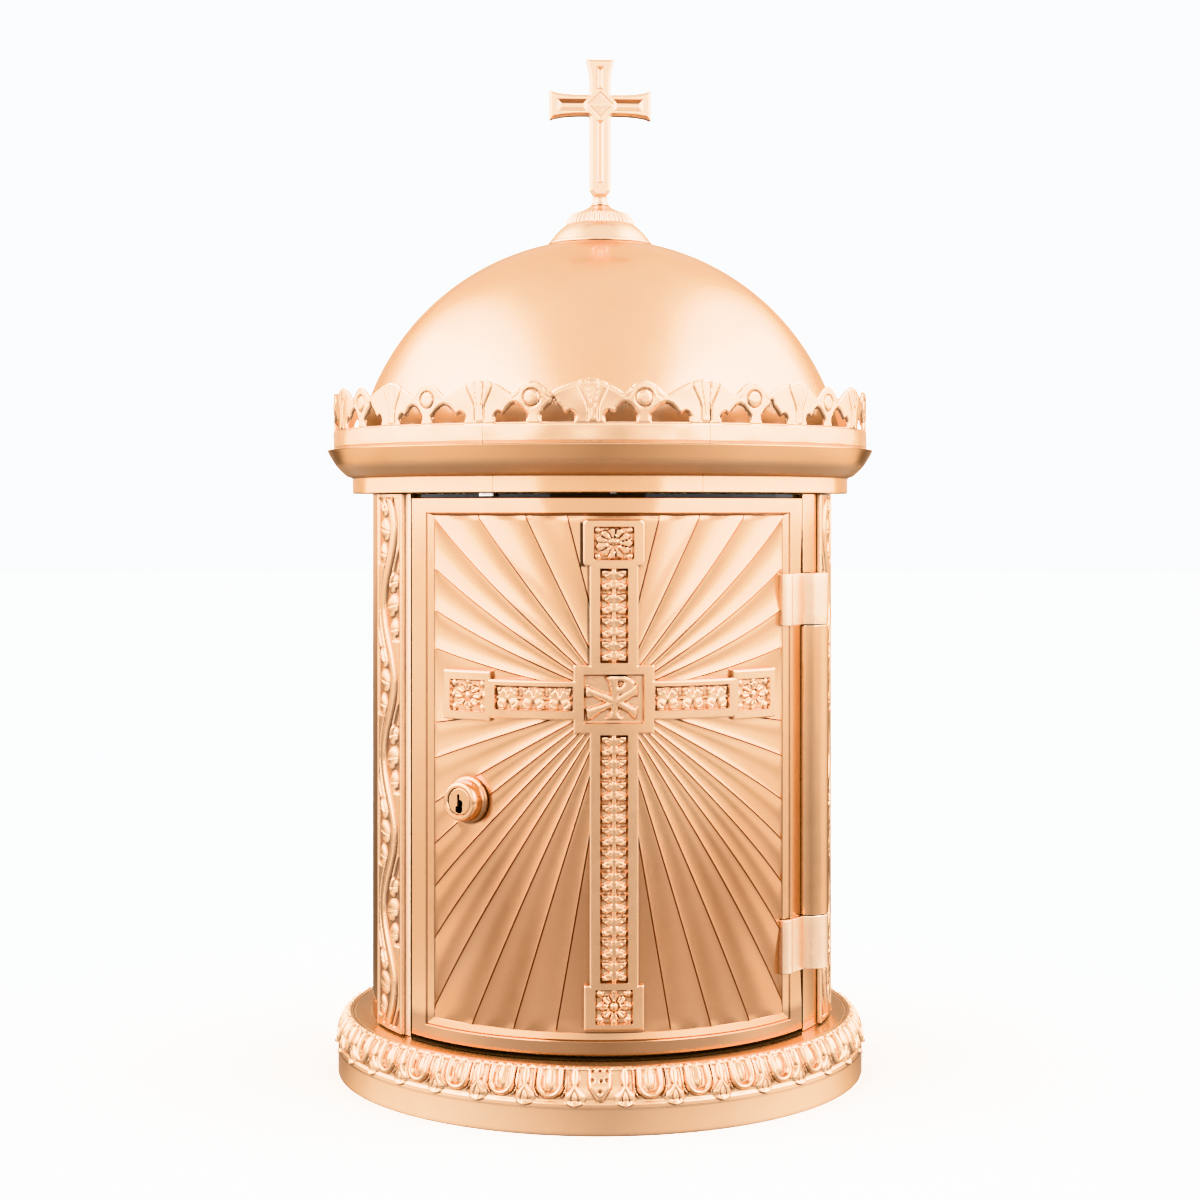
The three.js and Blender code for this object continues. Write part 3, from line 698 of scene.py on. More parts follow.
# a dark brown copy of the brass: painted shade on the upward ledges of the base and of the door border
M_LEDGE_SHADE = brass("base_ledge_painted_shade_brass", (0.37, 0.21, 0.118), (0.32, 0.18, 0.098), 0.36, 0.06,
                (0.6, 0.45, 0.33), wear=0.5, ao_dist=0.002)
M_CAST_BASE = brass("base_rose_brass", (0.86, 0.575, 0.385), (0.81, 0.505, 0.315), 0.15, 0.06, (0.36, 0.26, 0.19),
                    grain=(500, 4, (1.0, 1.0, 0.4)), bump=0.02, wear=0.5, ao_dist=0.0025)
base_moulding()


# ---------------------------------------------------------------- drum, stops
HX, HY = 113.0 * math.sin(58.5 * RAD), -113.0 * math.cos(58.5 * RAD)


def phi_clear(r, dist):
    """How far in degrees from the hinge's angle a point at radius r clears the hinge axis by dist."""
    c = (r * r + 113.0 ** 2 - dist * dist) / (2 * r * 113.0)
    return 0.0 if c >= 1 else math.degrees(math.acos(max(-1.0, min(1.0, c))))


def shell(name, phi0, phi1, r0, r1, zs, step=1.2, low_edge=None, high_edge=None, edge=0.3):
    """A curved plate with softened edges. low_edge / high_edge(r, z) may move the first / last angle."""
    e = edge / r1 / RAD
    phis = spaced([phi0, phi0 + e, phi1 - e, phi1], step)
    U, Z = np.meshgrid(phis, np.array(zs, float))
    F = np.full(U.shape, float(r1))
    F[:, 0] -= edge * 0.8
    F[:, -1] -= edge * 0.8
    F[0, :] -= edge * 0.8
    F[-1, :] -= edge * 0.8
    B = np.full(U.shape, float(r0))

    def place(u, z, h):
        u = np.array(u, float)
        for fn, at in ((low_edge, phi0), (high_edge, phi1)):
            if fn is None:
                continue
            lim = np.array([fn(hh, zz) for hh, zz in zip(h, z)])
            if at == phi0:
                u = np.maximum(u, lim)
            else:
                u = np.minimum(u, lim)
        return polar(h, u, z)

    return relief(name, U, Z, F, B, None, place)


def second_material(ob, mat, choose):
    """Gives the faces picked by choose(centre in mm, normal) another material."""
    ob.data.materials.append(mat)
    me = ob.data
    n = len(me.polygons)
    c, q = np.empty(n * 3), np.empty(n * 3)
    was = np.empty(n, np.int32)
    me.polygons.foreach_get("center", c)
    me.polygons.foreach_get("normal", q)
    me.polygons.foreach_get("material_index", was)
    pick = choose(c.reshape(-1, 3) * 1000.0, q.reshape(-1, 3))
    me.polygons.foreach_set("material_index", np.where(pick, len(me.materials) - 1, was).astype(np.int32))
    me.update()


def gild_inside(ob, radius, mat):
    """Gives the faces that look towards the axis, within the radius in mm, the inner material."""
    ob.data.materials.append(mat)
    me = ob.data
    n = len(me.polygons)
    c = np.empty(n * 3)
    q = np.empty(n * 3)
    me.polygons.foreach_get("center", c)
    me.polygons.foreach_get("normal", q)
    c, q = c.reshape(-1, 3), q.reshape(-1, 3)
    r = np.hypot(c[:, 0], c[:, 1])
    inward = (c[:, 0] * q[:, 0] + c[:, 1] * q[:, 1]) / np.maximum(r, 1e-9) < -0.5
    me.polygons.foreach_set("material_index", (inward & (r < radius * 0.001)).astype(np.int32))
    me.update()


drum_zs = [29.8, 30.1, 45, 59.29, 59.3, 100, 150, 200, 246.8, 246.81, 265, 283.6, 283.9]
finish_piece(
    shell("drum_wall", 55.1, 304.9, 110.5, 113.0, drum_zs, 1.2,
          low_edge=lambda r, z: 58.5 + phi_clear(r, 9.62) if 59.295 < z < 246.805 else 55.1),
    "body", "drum_shell", M_DRUM)
gild_inside(bpy.data.objects["drum_wall"], 111.5, M_INNER)
# a paler copy of the drum's brass: painted light on the left jamb beside the door
M_JAMB_LIT = brass("jamb_painted_light_brass", (0.95, 0.76, 0.6), (0.94, 0.71, 0.54), 0.36, 0.06, (0.75, 0.62, 0.5), wear=0.3, ao_dist=0.002)
second_material(bpy.data.objects["drum_wall"], M_JAMB_LIT,
                lambda c, q: (c[:, 0] < 0) & (c[:, 1] < -57.5) & (np.hypot(c[:, 0], c[:, 1]) > 111.8))
# painted shade on the base's top ledge
second_material(bpy.data.objects["base_moulding"], M_LEDGE_SHADE, lambda c, q: (c[:, 2] > 27.0) & (q[:, 2] > 0.9))

stop_zs = [31.8, 32.1, 59.29, 59.3, 150, 246.8, 246.81, 280.3, 280.6]
finish_piece(shell("door_stop_left", -62.0, -52.6, 107.9, 110.2, [31.8, 32.1, 100, 160, 220, 280.3, 280.6], 1.0),
             "body", "jamb_stop_left", M_INNER)
finish_piece(
    shell("door_stop_right", 52.6, 67.0, 107.9, 110.2, stop_zs, 0.8,
          low_edge=lambda r, z: max(60.0, 58.5 + phi_clear(r, 9.82)) if 59.295 < z < 246.805 else 52.6),
    "body", "jamb_stop_right", M_INNER)


# ---------------------------------------------------------------- pilasters with a running vine
def vine_height(u, z, mirror):
    """Height of the vine's relief over its ground, in mm. u runs from -14.8 to 14.8 mm, towards the door."""
    if mirror:
        u = -u
    P = 72.0
    w = 2 * math.pi / P
    zc = z - 266.7
    amp = 6.2
    c = amp * np.cos(w * zc)
    slope = -amp * w * np.sin(w * zc)
    d = (u - c) / np.sqrt(1 + slope * slope)
    half = 3.0
    h = np.full(u.shape, 0.92)
    k = np.round(zc / (P / 2))
    for dk in (-1, 0, 1):
        kk = k + dk
        side = np.where(np.mod(kk, 2) == 0, 1.0, -1.0)
        x = u * side          # the stem bulges to the + side here
        y = zc - kk * (P / 2)
        ds = d * side
        # the leaf in the hollow of the bulge: a sunk field with three lobes
        field = smooth01((17.0 - np.abs(y)) / 2.5) * smooth01((-half - 1.0 - ds) / 0.8)
        sunk = 0.12
        lobes = np.full(u.shape, 0.0)
        for ox, oy, ax, ay in ((-5.4, 11.2, 5.6, 5.6), (-4.4, 0.2, 6.9, 6.0), (-6.2, -11.2, 4.8, 5.8)):
            e = np.hypot((x - ox) / ax, (y - oy + 0.16 * (x - ox)) / ay)
            lobe = 1.28 * np.clip(1.0 - np.clip(e, 0, 1) ** 3.2, 0, 1)
            # a fine vein and a drilled eye
            lobe = lobe - 0.28 * np.clip(1 - np.abs(y - oy + 0.16 * (x - ox)) / 0.55, 0, 1) * (e < 0.8)
            lobe = lobe - 1.0 * np.clip(1.15 - np.hypot(x - ox + 0.55 * ax, y - oy + 0.62 * ay) / 1.35, 0, 1)
            lobes = np.maximum(lobes, lobe)
        h = np.where(field > 0.02, h * (1 - field) + np.maximum(sunk, lobes) * field, h)
        # shoots running beside the stem out of each leaf
        for off, y0, y1 in ((-half - 4.2, 14.0, 27.5), (half + 4.0, -27.0, -9.0)):
            on = smooth01((y - y0) / 3.0) * smooth01((y1 - y) / 3.0)
            bend = off + 0.9 * np.sin((y - y0) / (y1 - y0) * math.pi)
            h = h - 0.95 * np.clip(1 - np.abs(ds - bend) / 1.1, 0, 1) ** 0.6 * on
    # the stem: a rounded band between two deep grooves
    h = np.where(np.abs(d) < half + 0.9, 0.95 + 0.5 * dome01(d / (half + 0.3)), h)
    cut_ = np.clip(1 - np.abs(np.abs(d) - half - 0.35) / 1.25, 0, 1) ** 0.6
    return np.maximum(h - 1.4 * cut_, 0.0)


def pilaster(name, node, mid, mirror):
    us = np.linspace(-14.75, 14.75, 93)
    zs = np.concatenate([[30.0, 30.25], np.linspace(30.6, 283.2, 680), [283.55, 283.8]])
    U, Z = np.meshgrid(us, zs)
    h = vine_height(U, Z, mirror)
    inner = smooth01((12.7 - np.abs(U)) / 0.8)
    ends = smooth01((Z - 31.6) / 0.8) * smooth01((282.2 - Z) / 0.8)
    field = inner * ends
    ground = 113.62
    F = ground + np.minimum(h * 1.2, 1.85) * field + (1 - field) * 1.15
    F += 0.3 * dome01((np.abs(U) - 13.4) / 0.9)
    F[:, 0] -= 0.6
    F[:, -1] -= 0.6
    F[0, :] -= 0.4
    F[-1, :] -= 0.4
    F = np.clip(F, 113.5, 115.55)

    def place(u, z, r):
        return polar(r, mid + u / 113.0 / RAD, z)

    ob = relief(name, U, Z, F, 113.3, None, place, 50)
    finish_piece(ob, "body", node, M_CAST)
    # painted shade in the cuts: their floors get the dark brown shaded brass
    second_material(ob, M_PAINTED_SHADE, lambda c, q: (np.hypot(c[:, 0], c[:, 1]) < 114.28)
                    & ((c[:, 0] * q[:, 0] + c[:, 1] * q[:, 1]) / np.hypot(c[:, 0], c[:, 1]) > 0.2))


pilaster("vine_pilaster_left", "pilaster_left", -64.7, False)
pilaster("vine_pilaster_right", "pilaster_right", 71.2, True)


# ---------------------------------------------------------------- cornice
def cornice():
    n = 720
    outer = [(104.0, 284.2), (122.6, 284.2), (123.0, 284.6), (123.0, 291.2), (123.1, 291.6), (123.5, 291.9)]
    ovolo = curve_through([(125.6, 292.6), (127.6, 294.3), (130.3, 297.0), (132.6, 300.2),
                           (134.2, 302.9), (135.0, 304.4)], per=5)
    top = [(135.35, 304.9), (135.4, 305.25), (135.15, 305.5), (104.0, 305.5), (104.0, 302.6),
           (130.0, 302.6), (121.0, 294.6), (120.0, 287.2), (104.0, 287.2)]
    prof = np.array(outer + [tuple(p) for p in ovolo] + top)
    phis = np.arange(n) * 360.0 / n
    # extra columns around each joint of the fascia
    joints = [-19.7 + 3.2 * 0 + 45.0 * i for i in range(8)]
    joints = [-26.2 + 45.0 * i for i in range(8)]
    extra = []
    for j in joints:
        extra += [j - 0.22, j - 0.09, j, j + 0.09, j + 0.22]
    phis = np.array(sorted(set([round(p % 360, 4) for p in list(phis) + extra])))
    n = len(phis)
    R = np.repeat(prof[:, 0][:, None], n, 1)
    Z = np.repeat(prof[:, 1][:, None], n, 1)
    for j in joints:
        near = np.abs((phis - j + 180) % 360 - 180) < 0.05
        for row in range(1, 6):
            R[row, near] -= 0.45
    pts = polar(R, phis[None, :], Z)
    ob = make_mesh("cornice_moulding", pts.reshape(-1, 3), [grid_faces(len(prof), n, True, True)], 30)
    return finish_piece(ob, "body", "cornice_ring", M_TURNED)


cornice()


# ---------------------------------------------------------------- crest castings
def crest_panel(index):
    s_half = 22.41 * RAD * 132.0
    us = np.linspace(-s_half, s_half, 236)
    zs = np.linspace(305.9, 334.4, 66)
    U, Z = np.meshgrid(us, zs)
    top = curve_through([
        (-51.7, 333.5), (-49.6, 333.6), (-44.6, 331.9), (-40.6, 329.4), (-38.3, 328.5), (-36.6, 329.4),
        (-34.6, 331.2), (-32.0, 332.8), (-28.8, 333.5), (-25.6, 332.7), (-22.9, 330.8), (-20.9, 329.2),
        (-19.6, 328.5), (-17.6, 329.7), (-13.6, 331.4), (-8.2, 333.2), (-4.4, 334.1), (-1.2, 334.3),
        (2.0, 333.7), (5.0, 332.2), (9.0, 330.0), (11.6, 328.4), (12.8, 328.0), (14.4, 328.9), (16.4, 330.9),
        (18.6, 332.6), (21.6, 333.3), (24.8, 332.5), (27.6, 330.7), (30.2, 328.3), (32.0, 327.4), (34.0, 328.4),
        (38.4, 330.9), (43.6, 333.2), (48.4, 334.2), (51.7, 333.7)], per=5)
    edge_poly = [(-60, 300)] + [(60, 300), (60, 333.5)] + [tuple(p) for p in top[::-1]] + [(-60, 333.5)]
    D = sd_poly(U, Z, edge_poly)

    def opening(stem, far, notch=False):
        """A pierced opening: straight at the stem, a peak beside it, a neck and a small lobe at its far end."""
        d = 1.0 if far > stem else -1.0
        k = abs(far - stem) / 14.6
        pts = [(0, 315.0), (0, 318.3), (1.7, 320.5), (3.6, 322.3), (5.5, 323.1), (7.2, 322.4), (8.9, 320.6),
               (10.3, 318.8), (11.1, 318.3), (11.9, 318.9), (12.9, 319.5), (13.9, 319.0), (14.6, 317.6), (14.6, 315.0)]
        if notch:
            pts[4:5] = [(5.0, 322.9), (5.25, 324.2), (5.6, 325.4), (5.95, 324.2), (6.2, 322.9)]
        return [(stem + d * k * x, z) for x, z in pts]

    rim = np.full(U.shape, 99.0)
    for pts in (opening(-31.1, -45.9), opening(-24.4, -9.4, True), opening(18.2, 4.1), opening(24.7, 42.4)):
        hole = sd_poly(U, Z, pts)
        rim = np.minimum(rim, hole)
        D = np.maximum(D, -hole)
    U2, Z2, keep = snap(U, Z, D, 0.42)
    # front relief
    F = np.full(U.shape, 132.1)
    F -= 0.55 * (1 - smooth01(-D / 0.8))  # rounded edges
    F += 0.2 * smooth01((314.6 - Z) / 0.5) * smooth01((Z - 306.4) / 0.5)  # base band
    F -= 0.35 * np.clip(1 - np.abs(Z - 314.75) / 0.35, 0, 1) * 0.6
    for cx, cz in ((-28.8, 325.9), (21.6, 325.7)):
        rr = np.hypot(U - cx, Z - cz)
        F -= 0.75 * np.clip(1 - np.abs(rr - 3.85) / 0.55, 0, 1)
        F += 0.38 * dome01(rr / 3.3) - 0.0
        # the scrolls at the sides of each circle
        for sgn in (-1, 1):
            arc = np.abs(np.hypot(U - cx - sgn * 9.6, Z - 330.2) - 4.6)
            inside = (np.abs(U - cx) < 8.5) & (Z > 322) & (Z < 331)
            F -= 0.28 * np.clip(1 - arc / 0.45, 0, 1) * inside
    # the fans: three flutes spreading upwards between two curved lines
    for cx in (-1.2, 50.1, -53.5):
        x = U - cx
        spread = 2.3 + 4.3 * smooth01((Z - 319.0) / 13.5) ** 1.3
        wall = np.abs(np.abs(x) - spread)
        up = smooth01((Z - 315.2) / 0.8)
        F -= 0.55 * np.clip(1 - wall / 0.5, 0, 1) * up
        for f in (-0.36, 0.36):
            F -= 0.3 * np.clip(1 - np.abs(x - f * spread) / 0.45, 0, 1) * up * smooth01((Z - 316.5) / 2)
        F += 0.25 * dome01(np.clip(np.abs(x) / np.maximum(spread, 0.1), 0, 1)) * up
    # leaf edges running beside the valleys
    F -= 0.2 * np.clip(1 - np.abs(D + 1.25) / 0.4, 0, 1) * (Z > 321)
    rng = np.random.default_rng(40 + index)
    F += 0.12 * np.sin(U * 0.21 + rng.random() * 6) * np.sin(Z * 0.35 + rng.random() * 6)
    # chamfered upper edge of the openings
    F -= 1.15 * np.clip(1 - rim / 1.25, 0, 1) * smooth01((Z - 316.2) / 1.2)
    F = np.clip(F, 130.95, 132.5)
    turn = -4.0 + 45.0 * (index - 1)

    def place(u, z, r):
        return polar(r, turn + u / 132.0 / RAD, z)

    ob = relief(f"crest_casting_{index}", U2, Z2, F, 130.75, keep, place, 46)
    finish_piece(ob, "body", f"crest_panel_{index}", M_CREST)
    # paler rear faces, and painted shade on the undersides round the openings
    second_material(ob, M_REAR, lambda c, q: (c[:, 0] * q[:, 0] + c[:, 1] * q[:, 1]) / np.hypot(c[:, 0], c[:, 1]) < -0.6)
    second_material(ob, M_PAINTED_SHADE, lambda c, q: (np.hypot(c[:, 0], c[:, 1]) < 131.62) & (c[:, 2] > 316.0) & (c[:, 2] < 326.0)
                    & ((c[:, 0] * q[:, 0] + c[:, 1] * q[:, 1]) / np.hypot(c[:, 0], c[:, 1]) > -0.3)
                    & (np.abs(q[:, 0] * c[:, 1] - q[:, 1] * c[:, 0]) / np.hypot(c[:, 0], c[:, 1]) + np.maximum(-q[:, 2], 0) > 0.4))


M_CREST = brass("crest_rose_brass", (0.91, 0.625, 0.435), (0.875, 0.56, 0.36), 0.16, 0.07, (0.36, 0.28, 0.21),
                grain=(420, 5, (1.0, 1.0, 1.0)), bump=0.035, wear=0.5, ao_dist=0.005)
for i in range(1, 9):
    crest_panel(i)


# ---------------------------------------------------------------- dome and finial
def dome():
    n, rows = 288, 76
    foot = 305.8 - 288.7
    out_r, in_r, hole = 122.2, 120.6, 2.7
    a0, a1 = math.asin(foot / out_r), math.acos(hole / out_r)
    pts = []
    for i in range(rows):
        a = a0 + (a1 - a0) * i / (rows - 1)
        pts.append((out_r * math.cos(a), 288.7 + out_r * math.sin(a)))
    b0, b1 = math.asin(foot / in_r), math.acos(hole / in_r)
    for i in range(36):
        a = b1 + (b0 - b1) * i / 35
        pts.append((in_r * math.cos(a), 288.7 + in_r * math.sin(a)))
    ob = revolve("dome", pts, n, 30)
    finish_piece(ob, "body", "dome_shell", M_DOME)
    # painted shade on the dome's foot, low behind the crest
    second_material(ob, M_DOME_FOOT_SHADE, lambda c, q: c[:, 2] < 325.5)


dome()


def finial_cap():
    lower = curve_through([(25.8, 408.45), (25.9, 408.9), (25.5, 409.55), (24.9, 410.2), (23.6, 411.9),
                           (21.6, 414.3), (19.3, 416.6), (17.3, 418.2)], per=4)
    ring = curve_through([(16.6, 418.5), (16.75, 419.1), (16.3, 420.3), (15.4, 421.8), (14.4, 423.2), (13.7, 423.9)], per=5)
    upper = curve_through([(13.2, 424.0), (12.6, 424.2), (10.6, 424.9), (8.0, 425.9), (5.9, 427.2), (4.7, 428.0)], per=4)
    prof = [(2.5, 411.3), (14.0, 410.5)] + [tuple(p) for p in lower] + [(16.9, 418.35)]
    k0 = len(prof)
    prof += [tuple(p) for p in ring]
    k1 = len(prof)
    prof += [(13.4, 423.85)] + [tuple(p) for p in upper] + [(4.4, 428.2), (2.5, 428.2)]

    def reeds(R, Z, P):
        w = np.abs(np.cos(P * RAD * 40 / 2.0))
        edge = np.zeros(len(prof))
        edge[k0:k1] = np.sin(np.linspace(0.12, math.pi - 0.12, k1 - k0)) ** 0.5
        R = R - (1 - w ** 0.8) * 0.95 * edge[:, None]
        return R, Z

    ob = revolve("finial_boss", prof, 480, 34, reeds)
    return finish_piece(ob, "body", "finial_cap", M_CROSS)


finial_cap()

collar = [(2.5, 428.5), (4.55, 428.5), (4.5, 428.8), (4.15, 429.2), (3.8, 429.8), (3.6, 430.5), (3.55, 431.2),
          (3.6, 431.8), (3.75, 432.4), (2.5, 432.4)]
finish_piece(revolve("finial_neck", collar, 96, 50), "body", "finial_collar", M_CROSS)


def altar_cross():
    us = np.arange(-25.6, 25.61, 0.32)
    zs = np.concatenate([np.arange(432.3, 501.35, 0.32)])
    U, Z = np.meshgrid(us, zs)
    half = [(3.2, 432.7), (3.6, 433.4), (5.0, 435.4), (5.15, 436.0), (5.15, 472.2), (6.0, 473.0), (12.0, 472.95),
            (18.0, 472.5), (22.6, 471.7), (25.3, 470.7), (25.3, 485.7), (22.6, 484.6), (18.0, 483.8),
            (12.0, 483.4), (6.0, 483.4), (5.15, 484.2), (5.15, 491.0), (5.6, 495.0), (6.9, 501.0)]
    outline = half + [(-x, z) for x, z in half[::-1]]
    D = sd_poly(U, Z, outline)
    U2, Z2, keep = snap(U, Z, D, 0.3)
    t = 3.0
    bevel = smooth01(-D / 1.3)
    H = t - 0.9 * (1 - bevel)
    # V-shaped channels along the arms
    for cx, cz, hx, hz in ((0.0, 455.0, 1.75, 15.6), (0.0, 491.8, 1.9, 5.6), (-13.9, 478.2, 7.3, 2.8), (13.9, 478.2, 7.3, 2.8)):
        d = sd_box(U - cx, Z - cz, hx, hz, 0.2)
        H = np.minimum(H, t - 1.15 * np.clip(-d / 1.75, 0, 1) - 0.25 * (d < 0))
    # the raised diamond at the crossing, in a fine line
    dm = np.abs(U) + np.abs(Z - 478.2)
    H = H - 0.45 * np.clip(1 - np.abs(dm - 6.1) / 0.6, 0, 1)
    H = np.where(dm < 5.5, t - 0.1 + 0.3 * np.clip((5.5 - dm) / 5.5, 0, 1), H)
    H = np.minimum(H, t + 0.7)

    def place(u, z, h):
        return np.stack([u, -h, z], -1)

    return relief("finial_cross_top", U2, np.minimum(Z2, 501.0), H, -H, keep, place, 30)


cross_ob = altar_cross()
tang = turned_solid("cross_tang", [(0, 401.6), (1.7, 401.6), (2.2, 402.3), (2.2, 434.5), (0, 434.5)], 32)
tang.data.materials.append(M_TURNED)
cross_ob.name = "altar_cross"
finish_piece(cross_ob, "body", "cross", M_CROSS)
# painted shade on the undersides of the cross's arms
second_material(cross_ob, M_PAINTED_SHADE, lambda c, q: (q[:, 2] < -0.5) & (np.abs(c[:, 0]) > 5.0) & (c[:, 2] > 465.0))
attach(tang, "body")


# ---------------------------------------------------------------- hinge
def tube(name, z0, z1, r=9.2, bore=2.8, edge=0.45):
    prof = [(bore, z0), (r - edge, z0), (r - edge * 0.3, z0 + edge * 0.3), (r, z0 + edge), (r, z1 - edge),
            (r - edge * 0.3, z1 - edge * 0.3), (r - edge, z1), (bore, z1)]
    zs = [z0 + edge + (z1 - z0 - 2 * edge) * k / 6 for k in range(1, 6)]
    prof = prof[:4] + [(r, z) for z in zs] + prof[4:]
    return revolve(name, prof, 128, 34, centre=(HX, HY))


finish_piece(tube("hinge_tube", 85.15, 221.85), "body", "hinge_post", M_POLISH)


def knuckle(name, node, z0, z1):
    """A barrel with a leaf that wraps onto the door's stile, as one casting."""
    e = 0.5
    a0 = None
    # outline in plan: round the barrel, then the leaf out to its tip and back beneath
    pts = []
    # where the barrel meets the leaf's outer face: start at the leaf's tip
    tip = 45.5
    for r, phi in ((113.5, tip + 0.15), (114.2, tip + 0.5), (114.8, tip + 0.9), (115.1, tip + 1.3), (115.2, tip + 1.8),
                   (115.2, 47.7), (115.2, 48.0)):
        pts.append(("leaf", r, phi))
    # the groove between the leaf and the web of the barrel
    groove = [(115.0, 48.15), (113.9, 48.3), (113.8, 48.5), (113.9, 48.7), (114.45, 48.85), (114.5, 49.1)]
    groove += [(114.5, p) for p in (50.2, 51.4, 52.6, 53.7)]
    for r, phi in groove:
        pts.append(("leaf", r, phi))
    xy = [tuple(polar(r, phi, 0.0)[:2]) for _, r, phi in pts]
    # barrel arc from the groove round the outside to the back
    start = math.atan2(xy[-1][1] - HY, xy[-1][0] - HX)
    end_pt = polar(113.45, 54.2, 0.0)[:2]
    end = math.atan2(end_pt[1] - HY, end_pt[0] - HX)
    while end < start:
        end += 2 * math.pi
    arc = []
    d0 = math.hypot(xy[-1][0] - HX, xy[-1][1] - HY)
    steps = 72
    for i in range(1, steps):
        a = start + (end - start) * i / steps
        arc.append((HX + 9.2 * math.cos(a), HY + 9.2 * math.sin(a)))
    xy += arc
    for phi in np.linspace(53.6, 46.75, 9):
        xy.append(tuple(polar(113.4, phi, 0.0)[:2]))
    xy.append(tuple(polar(112.3, 46.55, 0.0)[:2]))
    xy.append(tuple(polar(111.2, 46.42, 0.0)[:2]))
    xy.append(tuple(polar(110.9, 46.3, 0.0)[:2]))
    xy.append(tuple(polar(110.9, tip + 0.1, 0.0)[:2]))
    xy.append(tuple(polar(111.05, tip, 0.0)[:2]))
    xy.append(tuple(polar(113.2, tip, 0.0)[:2]))
    P = np.array(xy)
    n = len(P)
    # inward offsets for the softened ends
    prev, nxt = np.roll(P, 1, 0), np.roll(P, -1, 0)
    tng = nxt - prev
    tng /= np.maximum(np.linalg.norm(tng, axis=1)[:, None], 1e-9)
    inward = np.stack([-tng[:, 1], tng[:, 0]], 1)
    c = P.mean(0)
    area = 0.5 * np.sum(P[:, 0] * np.roll(P[:, 1], -1) - np.roll(P[:, 0], -1) * P[:, 1])
    if area < 0:
        inward = -inward
    levels = [(z0, e), (z0 + 0.3 * e, 0.3 * e), (z0 + e, 0.0)]
    levels += [(z0 + e + (z1 - z0 - 2 * e) * k / 5, 0.0) for k in range(1, 5)]
    levels += [(z1 - e, 0.0), (z1 - 0.3 * e, 0.3 * e), (z1, e)]
    rows = []
    for z, off in levels:
        Q = P + inward * min(off, 0.45)
        rows.append(np.column_stack([Q, np.full(n, z)]))
    v = np.vstack(rows)
    if area < 0:
        faces = grid_faces(len(levels), n, False, True)[:, ::-1]
    else:
        faces = grid_faces(len(levels), n, False, True)
    ob = make_mesh(name, v, [faces], 40)
    # caps
    import bmesh
    bm = bmesh.new()
    bm.from_mesh(ob.data)
    border = [ed for ed in bm.edges if ed.is_boundary]
    bmesh.ops.holes_fill(bm, edges=border, sides=0)
    bmesh.ops.recalc_face_normals(bm, faces=bm.faces)
    bm.to_mesh(ob.data)
    bm.free()
    ob.data.shade_smooth()
    ob.data.set_sharp_from_angle(angle=36 * RAD)
    return finish_piece(ob, "door", node, M_HINGE)


M_HINGE = brass("hinge_rose_brass", (0.95, 0.73, 0.57), (0.93, 0.68, 0.51), 0.22, 0.07, (0.78, 0.66, 0.56),
                grain=(500, 4, (1.0, 1.0, 0.1)), bump=0.03, wear=0.5, ao_dist=0.007, painted_shadow_range=(0.0, 0.16))
knuckle("hinge_leaf_lower", "hinge_knuckle_lower", 59.8, 84.85)
knuckle("hinge_leaf_upper", "hinge_knuckle_upper", 222.15, 246.3)


# ---------------------------------------------------------------- door frame
def door_frame():
    # stations across the border: half angle, low z, high z, radius
    st = [
        (54.5, 31.4, 281.9, 110.5),
        (54.5, 31.4, 281.9, 112.55),
        (54.38, 31.6, 281.7, 112.88),
        (54.22, 31.9, 281.4, 113.0),
        (49.15, 37.5, 275.2, 113.0),
        (49.0, 37.75, 275.0, 112.9),
        (48.9, 37.9, 274.85, 112.55),
        (48.78, 38.05, 274.75, 112.3),
        (48.62, 38.3, 274.6, 112.45),
        (48.45, 38.55, 274.5, 112.5),
        (47.4, 40.2, 273.95, 111.95),
        (46.75, 41.25, 273.6, 111.6),
        (46.6, 41.5, 273.5, 111.3),
        (52.2, 33.8, 278.8, 111.3),
        (52.2, 33.8, 278.8, 110.5),
    ]
    nh, marks = 97, None
    z_lo, z_hi = 31.4, 281.9
    t_marks = [0.0, 0.04, (59.3 - 0.02 - z_lo) / (z_hi - z_lo), (59.3 - z_lo) / (z_hi - z_lo), 0.25, 0.4, 0.55, 0.7,
               (246.8 - z_lo) / (z_hi - z_lo), (246.82 - z_lo) / (z_hi - z_lo), 0.96, 1.0]
    rows = []
    for half, lo, hi, r in st:
        row = []
        for i in range(nh - 1):  # bottom, left to right
            row.append((-half + 2 * half * i / (nh - 1), lo))
        for t in t_marks[:-1]:  # right side, up
            row.append((half, lo + (hi - lo) * t))
        for i in range(nh - 1):  # top, right to left
            row.append((half - 2 * half * i / (nh - 1), hi))
        for t in t_marks[::-1][:-1]:  # left side, down
            row.append((-half, lo + (hi - lo) * t))
        row = np.array(row)
        phi, z = row[:, 0].copy(), row[:, 1]
        cut = 58.5 - phi_clear(r, 9.82)
        zone = (z > 59.29) & (z < 246.81) & (phi > 0)
        phi[zone] = np.minimum(phi[zone], cut)
        rows.append(polar(np.full(len(row), r), phi, z))
    n = len(rows[0])
    v = np.vstack(rows)
    f = grid_faces(len(st), n, True, True)
    ob = make_mesh("door_border", v, [f], 20)
    finish_piece(ob, "door", "door_frame", M_POLISH)
    # painted shade on the door border's lower inner ledge
    second_material(ob, M_LEDGE_SHADE, lambda c, q: (c[:, 2] > 38.4) & (c[:, 2] < 41.1) & (q[:, 2] > 0.12))
    # painted shade under the door border's top inner edge
    second_material(ob, M_PAINTED_SHADE, lambda c, q: (c[:, 2] > 273.4) & (c[:, 2] < 274.9) & (q[:, 2] < -0.1))
    return ob


door_frame()

